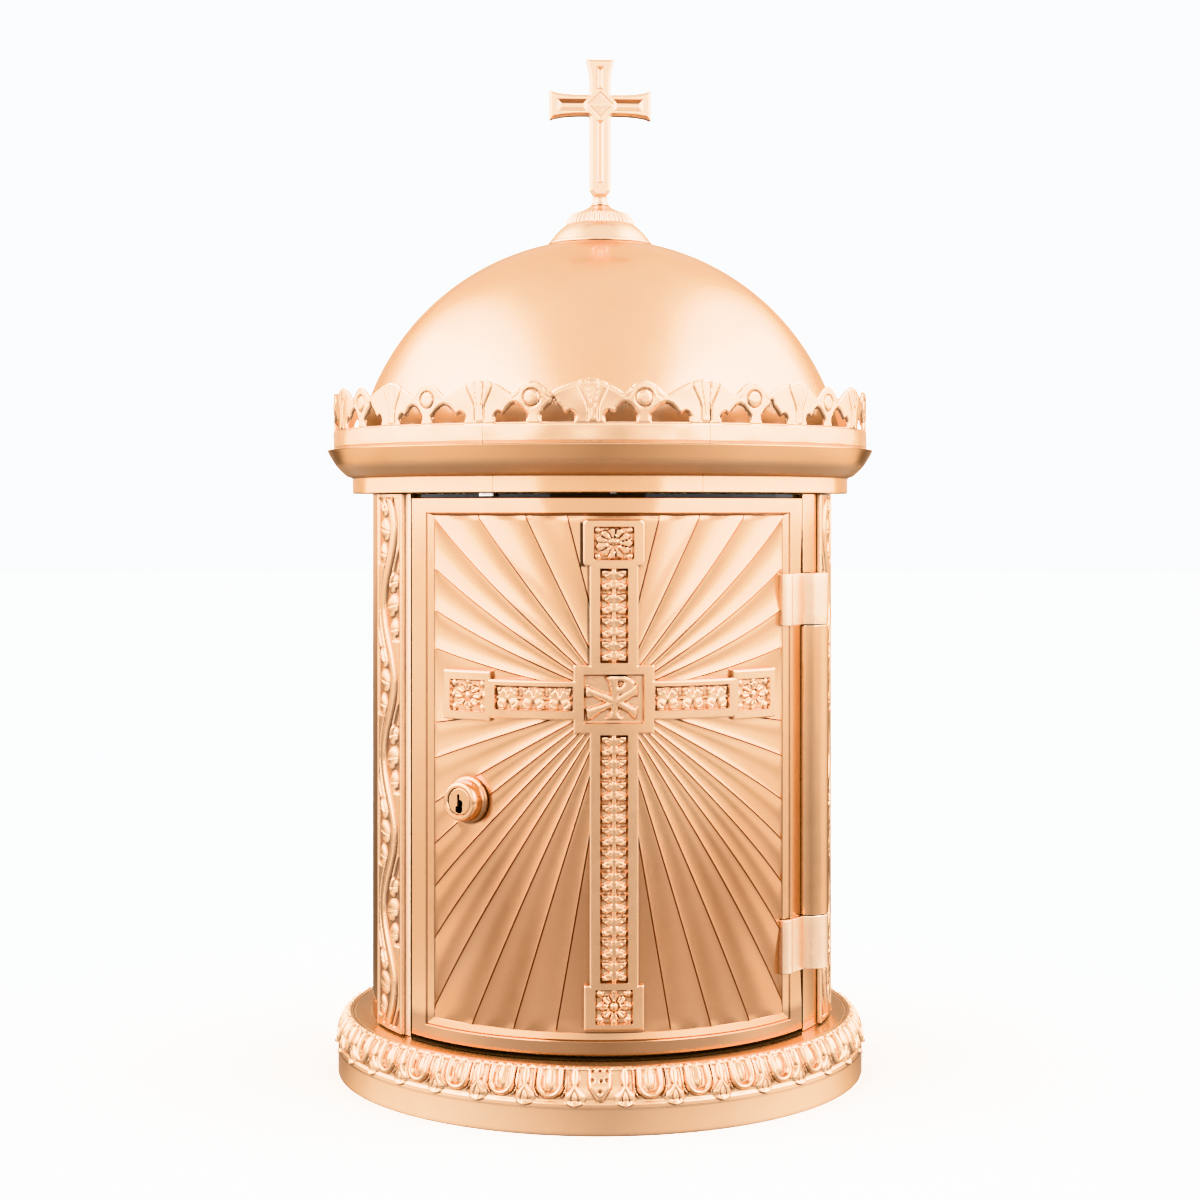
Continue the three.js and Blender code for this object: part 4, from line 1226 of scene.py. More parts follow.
# ---------------------------------------------------------------- sunburst
SUN_Z = 191.5
UPPER = [13, 23, 32.5, 41.5, 51.5, 63.5, 75.5]
LOWER = [8.4, 18.2, 29, 37.3, 44.4, 51.1, 57.8, 65.5, 72.7, 80]
LOCK_U, LOCK_Z = -35.7 * RAD * UR, 143.8


def paint_arm_shadow_line():
    """The panel's brass with a painted shadow line along the left of the upper arm and its end block."""
    nt = M_PANEL.node_tree
    N, L = nt.nodes, nt.links
    bsdf = next(x for x in N if x.type == "BSDF_PRINCIPLED")
    was = bsdf.inputs["Base Color"].links[0].from_socket
    tc = N.new("ShaderNodeTexCoord")
    sep = N.new("ShaderNodeSeparateXYZ")
    L.new(tc.outputs["Object"], sep.inputs[0])

    def band(sock, lo, hi, soft):
        out = None
        for edge, sgn in ((lo, 1), (hi, -1)):
            m = N.new("ShaderNodeMapRange")
            m.interpolation_type = "SMOOTHSTEP"
            m.inputs["From Min"].default_value = (edge - soft if sgn > 0 else edge + soft) * 0.001
            m.inputs["From Max"].default_value = edge * 0.001
            L.new(sock, m.inputs["Value"])
            if out is None:
                out = m.outputs["Result"]
            else:
                x = N.new("ShaderNodeMath")
                x.operation = "MULTIPLY"
                L.new(out, x.inputs[0])
                L.new(m.outputs["Result"], x.inputs[1])
                out = x.outputs[0]
        return out

    def times(a, b):
        x = N.new("ShaderNodeMath")
        x.operation = "MULTIPLY"
        for i, v in enumerate((a, b)):
            if isinstance(v, float):
                x.inputs[i].default_value = v
            else:
                L.new(v, x.inputs[i])
        return x.outputs[0]

    # painted shadow: dark bands beside the end block and down the arm's left edge
    one = times(band(sep.outputs["X"], -14.9, -13.0, 0.5), band(sep.outputs["Z"], 251.5, 270.0, 1.6))
    two = times(times(band(sep.outputs["X"], -11.7, -10.0, 0.5), band(sep.outputs["Z"], 208.0, 251.0, 6.0)), 0.6)
    top = N.new("ShaderNodeMath")
    top.operation = "MAXIMUM"
    L.new(one, top.inputs[0])
    L.new(two, top.inputs[1])
    mix = N.new("ShaderNodeMix")
    mix.data_type = "RGBA"
    mix.inputs[7].default_value = (0.09, 0.04, 0.02, 1.0)
    L.new(was, mix.inputs[6])
    L.new(top.outputs[0], mix.inputs[0])
    L.new(mix.outputs[2], bsdf.inputs["Base Color"])


paint_arm_shadow_line()


def sunburst():
    cuts = sorted([a for a in UPPER] + [180 - a for a in UPPER] + [180 + a for a in LOWER] + [360 - a for a in LOWER])
    n_ray = len(cuts)
    ts = np.array([0.0, 0.5, 1.0])  # placeholders: groove, lip, inside
    inner = np.linspace(0, 1, 13)
    u_lim, z_lo, z_hi = 102.4, 34.1, 278.4
    rho_t = np.concatenate([np.linspace(0, 1, 56)])
    cols_theta, col_kind = [], []
    for i in range(n_ray):
        a, b = cuts[i], cuts[(i + 1) % n_ray]
        if b < a:
            b += 360
        cols_theta.append((a, b))
    rows = len(rho_t)
    P, G = [], []
    ks = [0.0, "g", "l"] + list(np.linspace(0.09, 0.91, 11)) + ["L", "G"]
    for a, b in cols_theta:
        for k in ks:
            P.append((a, b, k))
    n = len(P)
    U = np.zeros((rows, n))
    Z = np.zeros((rows, n))
    H = np.zeros((rows, n))
    # the side of the field where a ray's edge goes out of the rectangle
    def reach(th):
        c, s = math.cos(th * RAD), math.sin(th * RAD)
        best = 1e9
        if abs(c) > 1e-9:
            best = min(best, u_lim / abs(c))
        if s > 1e-9:
            best = min(best, (z_hi - SUN_Z) / s)
        if s < -1e-9:
            best = min(best, (SUN_Z - z_lo) / -s)
        return best

    r0 = 9.0
    for j, (a, b, k) in enumerate(P):
        width = (b - a) * RAD
        for i, t in enumerate(rho_t):
            # distance along this ray's own middle sets the groove's width at this row
            g_mid = r0 + (reach(0.5 * (a + b)) - r0) * t
            w = width * g_mid
            gw, lw = min(0.34 / w, 0.1), min(0.85 / w, 0.2)
            if k == 0.0:
                f = 0.0
            elif k == "g":
                f = gw
            elif k == "l":
                f = lw
            elif k == "L":
                f = 1 - lw
            elif k == "G":
                f = 1 - gw
            else:
                f = lw + (1 - 2 * lw) * k
            th = a + (b - a) * f
            rr = r0 + (reach(th) - r0) * t
            U[i, j] = rr * math.cos(th * RAD)
            Z[i, j] = SUN_Z + rr * math.sin(th * RAD)
            w2 = width * rr
            deep = min(0.05 * w2, 0.95) if a + b > 0 else min(0.032 * w2, 0.7)
            x = 2 * f - 1
            h = 0.95 - deep * (1 - x * x)
            if k in ("g", "G"):
                h = 0.95 - 0.02
            if k == 0.0:
                h = 0.95 - min(0.62, 0.2 + 0.012 * rr)
            H[i, j] = h
    # flatten under the border and round the lock
    edge = np.minimum.reduce([91.5 - np.abs(U), Z - 41.9, 273.1 - Z])
    under = smooth01(edge / 0.5)
    flat = 0.22
    R = 111.0 + flat + (H - flat) * under
    dl = np.hypot(U - LOCK_U, Z - LOCK_Z)
    k = smooth01((dl - 10.2) / 3.2)
    R = (111.25) * (1 - k) + R * k
    front = on_drum(U, Z, R).reshape(-1, 3)
    back = on_drum(U, Z, np.full(U.shape, 109.85)).reshape(-1, 3)
    nv = len(front)
    f = grid_faces(rows, n, False, True)
    # rows run outwards and columns anticlockwise: the front faces outwards with the order reversed
    f_front = f[:, ::-1]
    f_back = f + nv
    c = np.arange(n)
    c1 = (c + 1) % n
    rim0 = (rows - 1) * n
    rim = np.stack([rim0 + c, rim0 + c1, rim0 + c1 + nv, rim0 + c + nv], 1)[:, ::-1]
    hub = np.stack([c, c1, c1 + nv, c + nv], 1)
    ob = make_mesh("sunburst_panel", np.vstack([front, back]), [f_front, f_back, rim, hub], 24)
    # the small hole at the centre, which the cross covers, stays open inside the hub wall
    return finish_piece(ob, "door", "door_panel", M_PANEL)


sunburst()


# ---------------------------------------------------------------- relief cross on the door
def blob(x, y, cx, cy, ax, ay, turn=0.0):
    """A rounded lobe: 1 at its centre, 0 outside."""
    c, q = math.cos(turn), math.sin(turn)
    dx, dy = x - cx, y - cy
    return dome01(np.clip(np.hypot((c * dx + q * dy) / ax, (-q * dx + c * dy) / ay), 0, 1))


def rosette(x, y, hx, hy, boss=1.9):
    """A square flower in a panel 2hx by 2hy: a boss in a ring of scalloped petals, with a lobe in each
    corner and small beads between, height 0..1."""
    k = min(hx, hy) / 7.6
    q = (hx / hy) ** 0.75
    X, Y = x / q / k, y / k
    r = np.hypot(X, Y)
    a = np.arctan2(Y, X)
    lobe = np.abs(np.cos(4 * a))
    rim = 5.0 + 1.5 * lobe ** 0.6
    petal = smooth01((rim - r) / 0.55) * smooth01((r - 2.35) / 0.45)
    petal = petal * (1 - 0.9 * np.clip(1 - lobe * r / 1.9, 0, 1))
    petal = petal * (0.62 + 0.38 * dome01(np.clip((r - 4.6) / 2.6, -1, 1)))
    vein = np.clip(1 - np.abs(np.sin(4 * a)) * r / 1.7, 0, 1) * (r > 3.0) * (r < 5.6)
    petal = petal * (1 - 0.35 * vein)
    h = np.maximum(petal, blob(x, y, 0, 0, boss, boss))
    for sx in (-1, 1):
        for sy in (-1, 1):
            h = np.maximum(h, 0.9 * blob(x, y, sx * (hx - 1.75), sy * (hy - 1.75), 1.75, 1.75))
        h = np.maximum(h, 0.75 * blob(x, y, sx * (hx - 1.0), 0, 1.0, 1.5))
        h = np.maximum(h, 0.75 * blob(x, y, 0, sx * (hy - 0.9), 1.5, 0.95))
    return h


def quatrefoil(x, y, w, p):
    """A butterfly-shaped flower in a cell 2w wide and p tall: four broad petals to the corners, notched
    at both sides and joined to the next flower by a neck, height 0..1."""
    ax, ay = np.abs(x), np.abs(y)
    hy = p / 2.0
    # distance into the metal from the side notch, the slots between the flowers and the frame
    side = 0.9 * ay - 0.41 * (ax - 0.3 * w)
    slot = hy - ay - hy * (0.1 + 0.55 * (ax / w - 0.66) ** 2)
    neck = 0.2 * w - ax
    out = 0.98 * w - ax - 0.35 * np.clip(ay / hy - 0.5, 0, 1) ** 2 * w * 0.5
    d = np.minimum.reduce([side, np.maximum(slot, neck), out])
    h = smooth01((d + 0.05) / 0.7)
    # petals swell, the waist sinks a little
    swell = 0.78 + 0.22 * blob(ax, ay, 0.6 * w, 0.56 * hy, 0.5 * w, 0.5 * hy)
    h = h * swell
    # a chased stroke in each petal
    r = np.abs(np.hypot((ax - 0.30 * w) / w, (ay - 0.12 * hy) / (1.05 * hy)) - 0.47)
    stroke = np.clip(1 - r / 0.06, 0, 1) * (ax > 0.42 * w) * (ay > 0.28 * hy) * (ax < 0.85 * w)
    return np.clip(h - 0.38 * stroke, 0, 1)


def chi_rho_outline():
    s = 1.0
    px = lambda x, y: ((x - 790.0) / 39.5, 191.45 - (y - 700.0) / 42.3)
    stem = [px(625, 285), px(700, 262), px(760, 255), px(870, 262), px(990, 262), px(1090, 300), px(1165, 385),
            px(1160, 455), px(1110, 520), px(1020, 572), px(880, 625), px(872, 700), px(868, 800), px(866, 930),
            px(885, 1010), px(935, 1062), px(935, 1085), px(640, 1085), px(640, 1062), px(705, 1010), px(722, 930),
            px(728, 800), px(728, 640), px(722, 520), px(705, 420), px(670, 340)]
    hole = [px(872, 360), px(930, 362), px(960, 395), px(940, 440), px(905, 462), px(872, 470)]
    arm1 = [px(285, 545), px(310, 455), px(400, 500), px(500, 545), px(620, 590), px(720, 640), px(820, 690),
            px(950, 745), px(1060, 815), px(1130, 855), px(1215, 872), px(1205, 985), px(1170, 1095), px(1120, 1040),
            px(1030, 955), px(930, 895), px(850, 845), px(720, 800), px(620, 755), px(520, 705), px(420, 655),
            px(280, 668)]
    arm2 = [px(285, 880), px(360, 868), px(450, 835), px(560, 800), px(680, 750), px(780, 700), px(900, 615),
            px(1010, 545), px(1090, 490), px(1160, 430), px(1215, 425), px(1215, 655), px(1150, 650), px(1070, 690),
            px(960, 765), px(850, 815), px(740, 870), px(640, 905), px(540, 960), px(460, 1020), px(380, 1090),
            px(310, 1110), px(300, 1000)]
    return stem, hole, arm1, arm2


def door_cross():
    e = 0.22
    u_edges, z_edges = [], []
    for x in (10.85, 6.25, 18.1, 13.5, 13.8, 9.05, 13.4, 8.4, 55.2, 57.5, 60.2, 79.7, 83.6):
        for d in (-e, 0, e):
            u_edges += [x + d, -(x + d)]
    u_edges = [x for x in u_edges if abs(x) <= 83.6] + [0.0]
    for z in (43.1, 62.9, 45.6, 61.1, 64.1, 175.3, 175.9, 180.4, 202.5, 206.5, 207.6, 250.0, 251.0, 253.7, 268.8,
              272.0, 182.0, 199.5, 186.0, 197.0, 180.5, 203.0, 184.5, 199.0):
        z_edges += [z - e, z, z + e]
    z_edges = [z for z in z_edges if 43.1 <= z <= 272.0]
    us, zs = spaced(u_edges, 0.42), spaced(z_edges, 0.42)
    U, Z = np.meshgrid(us, zs)

    def rect(x0, x1, z0, z1, r=0.0):
        return sd_box(U - (x0 + x1) / 2, Z - (z0 + z1) / 2, (x1 - x0) / 2, (z1 - z0) / 2, r)

    D = np.minimum.reduce([
        rect(-10.85, 10.85, 44, 271), rect(-13.8, 13.8, 251, 272, 2.2), rect(-13.4, 13.4, 43.1, 62.9),
        rect(-18.1, 18.1, 175.9, 206.5), rect(-60, 60, 182, 199.5),
        rect(-83.6, -57.5, 180.5, 203), rect(57.5, 83.6, 180.5, 203)])
    U2, Z2, keep = snap(U, Z, D, 0.3)
    top = 114.1
    depth = 1.75
    H = np.full(U.shape, top)
    H -= 0.5 * (1 - smooth01(-D / 0.6))

    def recess(x0, x1, z0, z1, orn=None, r=0.4, amp=1.25):
        nonlocal H
        d = rect(x0, x1, z0, z1, r)
        wall = smooth01(-d / 0.4)
        floor = top - depth * wall
        if orn is not None:
            floor = floor + amp * orn * smooth01((-d - 0.15) / 0.5)
        H = np.where(d < 0.0, np.minimum(H, np.minimum(floor, top + 0.1)), H)

    # strips of flowers
    def strip_v(z0, z1, count):
        p = (z1 - z0) / count
        y = (Z - z0) % p - p / 2
        recess(-6.25, 6.25, z0, z1, quatrefoil(U, y, 6.0, p))

    def strip_h(x0, x1, count):
        p = (x1 - x0) / count
        x = (U - x0) % p - p / 2
        recess(x0, x1, 186.0, 197.0, quatrefoil(Z - 191.5, x, 5.3, p))

    strip_v(207.6, 250.0, 4)
    strip_v(64.1, 175.3, 11)
    strip_h(-55.2, -18.4, 3)
    strip_h(18.4, 55.2, 3)
    # square blocks with rosettes
    recess(-79.7, -60.2, 184.5, 199.0, rosette(U + 69.95, Z - 191.75, 9.6, 7.15))
    recess(60.2, 79.7, 184.5, 199.0, rosette(U - 69.95, Z - 191.75, 9.6, 7.1))
    recess(-8.4, 8.4, 45.6, 61.1, rosette(U, Z - 53.35, 8.2, 7.6, 2.0))
    # the shell at the top of the upright
    x, y = U, Z - 261.25
    a = np.arctan2(y * 1.1, x)
    r = np.hypot(x, y * 1.2)
    lob = np.abs(np.cos(a * 5.5))
    shell_h = 0.85 * smooth01((lob * r - 0.5) / 1.1) * smooth01((r - 2.0) / 1.2) * smooth01((7.4 + 1.3 * lob - r) / 0.7)
    for ex, ez in ((-7.4, 5.9), (7.4, 5.9), (-7.4, -5.9), (7.4, -5.9)):
        shell_h = np.maximum(shell_h, 0.8 * blob(x, y, ex, ez, 1.5, 1.4))
    boss = dome01(np.clip(np.hypot(x / 3.4, (y - 0.8) / 1.5), 0, 1))
    under = np.clip(1 - np.hypot(x / 3.0, (y + 1.3) / 0.8), 0, 1)
    recess(-9.05, 9.05, 253.7, 268.8, np.clip(np.maximum(shell_h, boss) - 0.9 * under, 0, 1), 1.2)
    # the monogram at the crossing
    stem, hole, arm1, arm2 = chi_rho_outline()
    near = (np.abs(U) < 14) & (Z > 180) & (Z < 203)
    dm = np.full(U.shape, 9.0)
    un, zn = U[near], Z[near]
    letter = np.minimum(np.maximum(sd_poly(un, zn, stem), -sd_poly(un, zn, hole)),
                        np.minimum(sd_poly(un, zn, arm1), sd_poly(un, zn, arm2)))
    dm[near] = letter
    mono = smooth01((0.12 - dm) / 0.45) * (0.92 + 0.08 * smooth01((-dm - 0.4) / 0.9))
    recess(-13.5, 13.5, 180.4, 202.5, mono, 0.4, 1.55)
    # the front surface, held between 111.9 mm and just over the top
    F = np.clip(H, 111.9, top + 0.1)
    ob = relief("relief_cross", U2, Z2, F, 111.05, keep, on_drum, 40)
    return finish_piece(ob, "door", "door_cross", M_CAST_DOOR)


M_CAST_DOOR = brass("door_cross_rose_brass", (0.92, 0.625, 0.425), (0.885, 0.56, 0.35), 0.16, 0.07, (0.36, 0.22, 0.13),
                    grain=(420, 5, (1.0, 1.0, 1.0)), bump=0.03, wear=0.55, ao_dist=0.0026)
door_cross()

# ---------------------------------------------------------------- inner plate of the door
finish_piece(shell("door_lining", -50.9, 50.9, 108.0, 109.5, [36, 36.3, 90, 150, 210, 276.7, 277.0], 0.9),
             "door", "door_back_plate", M_INNER)


# ---------------------------------------------------------------- lock
LOCK_PHI = -35.7
out_dir = np.array([math.sin(LOCK_PHI * RAD), -math.cos(LOCK_PHI * RAD), 0.0])
side_dir = np.array([-math.cos(LOCK_PHI * RAD), -math.sin(LOCK_PHI * RAD), 0.0])  # towards the left jamb
up_dir = np.array([0.0, 0.0, 1.0])


def lock_place(v):
    """Local x to the left jamb, y up, h outwards."""
    return v[:, :1] * side_dir[None] + v[:, 1:2] * up_dir[None] + v[:, 2:3] * out_dir[None] + np.array([[0, 0, LOCK_Z]])


def ring_on_lock(name, prof, n=128, sharp=34):
    prof = np.asarray(prof, float)
    ang = np.arange(n) * 2 * math.pi / n
    X = prof[:, 0][:, None] * np.cos(ang)
    Y = prof[:, 0][:, None] * np.sin(ang)
    Hh = np.repeat(prof[:, 1][:, None], n, 1)
    v = lock_place(np.stack([X, Y, Hh], -1).reshape(-1, 3))
    f = grid_faces(len(prof), n, True, True)
    # side x up is inwards here, so the faces are turned
    return make_mesh(name, v, [f[:, ::-1]], sharp)


housing = [(6.35, 100.5), (7.8, 100.5), (8.0, 100.8), (8.0, 111.4), (10.4, 111.4), (10.75, 111.75), (10.75, 112.5),
           (10.5, 112.9), (10.2, 113.0), (9.7, 113.1), (9.35, 113.4), (9.2, 113.9), (9.15, 117.2), (8.95, 118.3), (8.5, 119.1),
           (7.9, 119.5), (7.2, 119.6), (6.6, 119.55), (6.35, 119.2)]
lock_ob = ring_on_lock("lock_body", housing)
finish_piece(lock_ob, "door", "lock_housing", M_POLISH)


def shaded_flange(c, q):
    """Painted shade on the edge of the flange at its lower right."""
    v = c - np.array([[0.0, 0.0, LOCK_Z]])
    v = v - (v @ out_dir)[:, None] * out_dir[None]
    r = np.linalg.norm(v, axis=1)
    along = (c @ out_dir)
    turn = (v @ side_dir) * -0.8 + (v @ up_dir) * -0.6
    return (r > 9.55) & (r < 11.2) & (along > 111.0) & (turn / np.maximum(r, 1e-6) > 0.12)


# painted shade on the flange's lower right edge
second_material(lock_ob, M_PAINTED_SHADE, shaded_flange)


def lock_plug():
    """The turning face with its keyhole: a disc of rings around a slot, on a solid core."""
    n, rings = 160, 46
    ang = (np.arange(n) + 0.5) * 2 * math.pi / n
    rs = np.concatenate([np.linspace(0.15, 5.7, rings), [5.95, 6.08]])
    hh = np.concatenate([np.full(rings, 119.15), [119.0, 118.7]])
    X = rs[:, None] * np.cos(ang)
    Y = rs[:, None] * np.sin(ang)
    # keyhole: a warded slot, wider below
    d_slot = np.minimum.reduce([sd_box(X - 0.45, Y - 0.6, 0.5, 2.6, 0.3), sd_box(X + 0.2, Y + 2.3, 1.15, 2.9, 0.5),
                                sd_box(X - 0.1, Y + 3.6, 1.75, 1.35, 0.6), sd_box(X + 0.8, Y + 1.0, 1.0, 1.0, 0.4)])
    depth = 5.5 * smooth01((0.1 - d_slot) / 0.35)
    step = 0.25 * smooth01((3.6 - np.hypot(X, Y)) / 0.3) * 0
    Hh = hh[:, None] - depth - step
    v = np.stack([X, Y, Hh], -1).reshape(-1, 3)
    k = len(v)
    low = np.stack([6.1 * np.cos(ang), 6.1 * np.sin(ang), np.full(n, 97.2)], -1)
    v = np.vstack([v, low, [[0, 0, 119.15 - 5.5]], [[0, 0, 97.2]]])
    f = grid_faces(len(rs), n, False, True)
    c = np.arange(n)
    c1 = (c + 1) % n
    last = (len(rs) - 1) * n
    side = np.stack([last + c, last + c1, k + c1, k + c], 1)
    mid = np.stack([np.full(n, k + n), c1, c], 1)[:, ::-1]
    bot = np.stack([np.full(n, k + n + 1), k + c, k + c1], 1)[:, ::-1]
    vv = lock_place(v)
    quads = np.vstack([f, side])
    tris = np.vstack([mid[:, ::-1], bot[:, ::-1]])
    ob = make_mesh("lock_face", vv, [quads, tris], 40)
    import bmesh
    bm = bmesh.new()
    bm.from_mesh(ob.data)
    bmesh.ops.recalc_face_normals(bm, faces=bm.faces)
    bm.to_mesh(ob.data)
    bm.free()
    ob.data.shade_smooth()
    ob.data.set_sharp_from_angle(angle=40 * RAD)
    return finish_piece(ob, "lock", "lock_plug", M_KEY)


def keyhole_shade_material():
    """Turned brass, with painted shade, nearly black, inside the keyhole."""
    mat = brass("lock_turned_brass", LIGHT, DEEP, 0.13, 0.05, (0.4, 0.28, 0.2), grain=(600, 3, (1.0, 1.0, 1.0)))
    nt = mat.node_tree
    N, L = nt.nodes, nt.links
    bsdf = next(x for x in N if x.type == "BSDF_PRINCIPLED")
    was = bsdf.inputs["Base Color"].links[0].from_socket
    tc = N.new("ShaderNodeTexCoord")
    dot = N.new("ShaderNodeVectorMath")
    dot.operation = "DOT_PRODUCT"
    dot.inputs[1].default_value = tuple(out_dir)
    L.new(tc.outputs["Object"], dot.inputs[0])
    mr = N.new("ShaderNodeMapRange")
    mr.inputs["From Min"].default_value = 0.1166
    mr.inputs["From Max"].default_value = 0.1186
    L.new(dot.outputs["Value"], mr.inputs["Value"])
    mix = N.new("ShaderNodeMix")
    mix.data_type = "RGBA"
    mix.inputs[6].default_value = (0.02, 0.012, 0.008, 1.0)
    L.new(was, mix.inputs[7])
    L.new(mr.outputs["Result"], mix.inputs[0])
    L.new(mix.outputs[2], bsdf.inputs["Base Color"])
    return mat


M_KEY = keyhole_shade_material()
lock_plug()


# ---------------------------------------------------------------- screws
def screw_piece(name, node, origin, axis, head_r, head_h, shank_r, shank_l, body, slot_turn, mat=None):
    """A slotted pan head with its shank. Its head's face is at origin and the shank runs along axis."""
    axis = np.array(axis, float)
    axis /= np.linalg.norm(axis)
    helper = np.array([0.0, 0.0, 1.0]) if abs(axis[2]) < 0.9 else np.array([1.0, 0.0, 0.0])
    x = np.cross(helper, axis)
    x /= np.linalg.norm(x)
    y = np.cross(axis, x)
    n = 64
    ang = (np.arange(n) + 0.5) * 2 * math.pi / n
    rs = list(np.linspace(0.06, 1.0, 13) * head_r * 0.9) + [head_r * 0.965, head_r]
    hs = [head_h * 0.28 * (r / (head_r * 0.9)) ** 2.4 * 0.6 for r in rs[:-2]] + [head_h * 0.3, head_h * 0.5]
    rs += [head_r, shank_r, shank_r, shank_r * 0.75]
    hs += [head_h, head_h, head_h + shank_l * 0.94, head_h + shank_l]
    R = np.array(rs)[:, None]
    H = np.repeat(np.array(hs)[:, None], n, 1)
    X, Y = R * np.cos(ang), R * np.sin(ang)
    c, s = math.cos(slot_turn), math.sin(slot_turn)
    off = np.abs(-s * X + c * Y)
    half = 0.13 * head_r
    top = np.zeros_like(H, bool)
    top[:15] = True
    H = np.where(top & (off < half + 0.001), np.maximum(H, head_h * 0.55), H)
    v = np.stack([X, Y, H], -1).reshape(-1, 3)
    k = len(v)
    v = np.vstack([v, [[0, 0, head_h * 0.55]], [[0, 0, head_h + shank_l]]])
    f = grid_faces(len(rs), n, False, True)
    cc = np.arange(n)
    c1 = (cc + 1) % n
    last = (len(rs) - 1) * n
    t0 = np.stack([np.full(n, k), cc, c1], 1)
    t1 = np.stack([np.full(n, k + 1), last + c1, last + cc], 1)
    pts = v[:, :1] * x[None] + v[:, 1:2] * y[None] + v[:, 2:3] * axis[None] + np.array(origin, float)[None]
    ob = make_mesh(name, pts, [f, np.vstack([t0, t1])], 30)
    import bmesh
    bm = bmesh.new()
    bm.from_mesh(ob.data)
    bmesh.ops.recalc_face_normals(bm, faces=bm.faces)
    bm.to_mesh(ob.data)
    bm.free()
    ob.data.shade_smooth()
    ob.data.set_sharp_from_angle(angle=30 * RAD)
    return finish_piece(ob, body, node, mat or M_STEEL)


for i, phi in enumerate((45, 135, 225, 315)):
    p = polar(121.8, phi, 0.3)
    screw_piece(f"base_fixing_{i + 1}", f"base_screw_{i + 1}", p, (0, 0, 1), 3.0, 1.1, 1.6, 4.9, "body", 0.4 + i * 1.1)
for i, phi in enumerate((0, 90, 180, 270)):
    p = polar(106.5, phi, 279.3)
    screw_piece(f"ceiling_fixing_{i + 1}", f"ceiling_screw_{i + 1}", p, (0, 0, 1), 2.9, 1.6, 1.7, 7.0, "body", 0.9 + i * 0.8)
for i, z in enumerate((107.5, 160.5)):
    screw_piece(f"strike_fixing_{i + 1}", f"strike_screw_{i + 1}", polar(104.5, -57.3, z), polar(1, -57.3, 0), 2.8, 1.5,
                1.4, 3.8, "body", 0.3 + i * 0.9)
for i, z in enumerate((66, 78.5, 228, 240.5)):
    screw_piece(f"hinge_fixing_{i + 1}", f"hinge_screw_{i + 1}", polar(105.6, 48.9, z), polar(1, 48.9, 0), 3.4, 2.0,
                1.6, 6.6, "door", 0.2 + i * 1.3)

def gap_clip():
    """A small steel clip under the cornice, over the door's top edge."""
    phis = np.linspace(-32.4, -28.6, 9)
    U, Z = np.meshgrid(phis, np.array([282.35, 282.5, 283.2, 284.0, 284.15]))
    F = np.full(U.shape, 113.1)
    F[0, :] -= 0.25
    F[-1, :] -= 0.25
    F[:, 0] -= 0.25
    F[:, -1] -= 0.25
    F[:, 3:6] -= 0.3
    ob = relief("gap_clip", U, Z, F, 110.8, None, lambda u, z, r: polar(r, u, z))
    finish_piece(ob, "body", None, M_STEEL)


gap_clip()

# ---------------------------------------------------------------- carried-over CAD nodes
CARRIED = {
    "base_plate": M_DOME,
    "floor_plate": M_INNER,
    "ceiling_plate": M_CEIL,
    "strike_plate": M_STEEL,
    "finial_washer": M_STEEL,
    "finial_nut": M_STEEL,
    "hinge_pin": M_STEEL,
    "lock_nut": M_STEEL,
    "lock_cam": M_STEEL,
    "cam_screw": M_STEEL,
}
for name, mat in CARRIED.items():
    o = NODES[name]
    if not o.material_slots:
        o.data.materials.append(mat)
    for s in o.material_slots:
        s.material = mat

# ---------------------------------------------------------------- floor and backdrop
def pale(name, tone_a, tone_b, glow):
    mat, nt, bsdf = new_material(name)
    N, L = nt.nodes, nt.links
    tc = N.new("ShaderNodeTexCoord")
    t = N.new("ShaderNodeTexNoise")
    t.inputs["Scale"].default_value = 1.5
    L.new(tc.outputs["Object"], t.inputs["Vector"])
    mix = N.new("ShaderNodeMix")
    mix.data_type = "RGBA"
    mix.inputs[6].default_value = (*tone_a, 1.0)
    mix.inputs[7].default_value = (*tone_b, 1.0)
    L.new(t.outputs["Fac"], mix.inputs[0])
    L.new(mix.outputs[2], bsdf.inputs["Base Color"])
    bsdf.inputs["Roughness"].default_value = 0.9
    bsdf.inputs["Specular IOR Level"].default_value = 0.1
    if glow:
        bsdf.inputs["Emission Color"].default_value = (1.0, 1.0, 1.0, 1.0)
        bsdf.inputs["Emission Strength"].default_value = glow
    return mat


def floor():
    """A round pale floor."""
    n = 96
    rs = [0.3, 1.0, 2.0, 3.5, 6.0, 9.0]
    ang = np.arange(n) * 2 * math.pi / n
    V = [(0.0, 0.0, 0.0)]
    for r in rs:
        V += [(1000 * r * math.cos(a), 1000 * r * math.sin(a), 0.0) for a in ang]
    c = np.arange(n)
    c1 = (c + 1) % n
    tris = np.stack([np.zeros(n, int), 1 + c, 1 + c1], 1)
    quads = grid_faces(len(rs), n, False, True, 1)[:, ::-1]
    ob = make_mesh("floor", V, [tris, quads], 60)
    ob.data.materials.append(pale("pale_floor", (0.74, 0.70, 0.665), (0.72, 0.68, 0.645), 0.62))
    ob.visible_glossy = False


def backdrop():
    """A pale round wall far behind everything, for the camera only."""
    n = 96
    prof = [(9000.0, -20.0), (9000.0, 3000.0), (8200.0, 6000.0), (5000.0, 8200.0), (10.0, 9000.0)]
    ang = np.arange(n) * 2 * math.pi / n
    V = []
    for r, z in prof:
        V += [(r * math.cos(a), r * math.sin(a), z) for a in ang]
    ob = make_mesh("backdrop", V, [grid_faces(len(prof), n, False, True)[:, ::-1]], 60)
    ob.data.materials.append(pale("pale_backdrop", (0.5, 0.5, 0.5), (0.48, 0.48, 0.48), 1.7))
    ob.visible_glossy = False
    ob.visible_diffuse = False
    ob.visible_shadow = False
    ob.visible_transmission = False


floor()
backdrop()

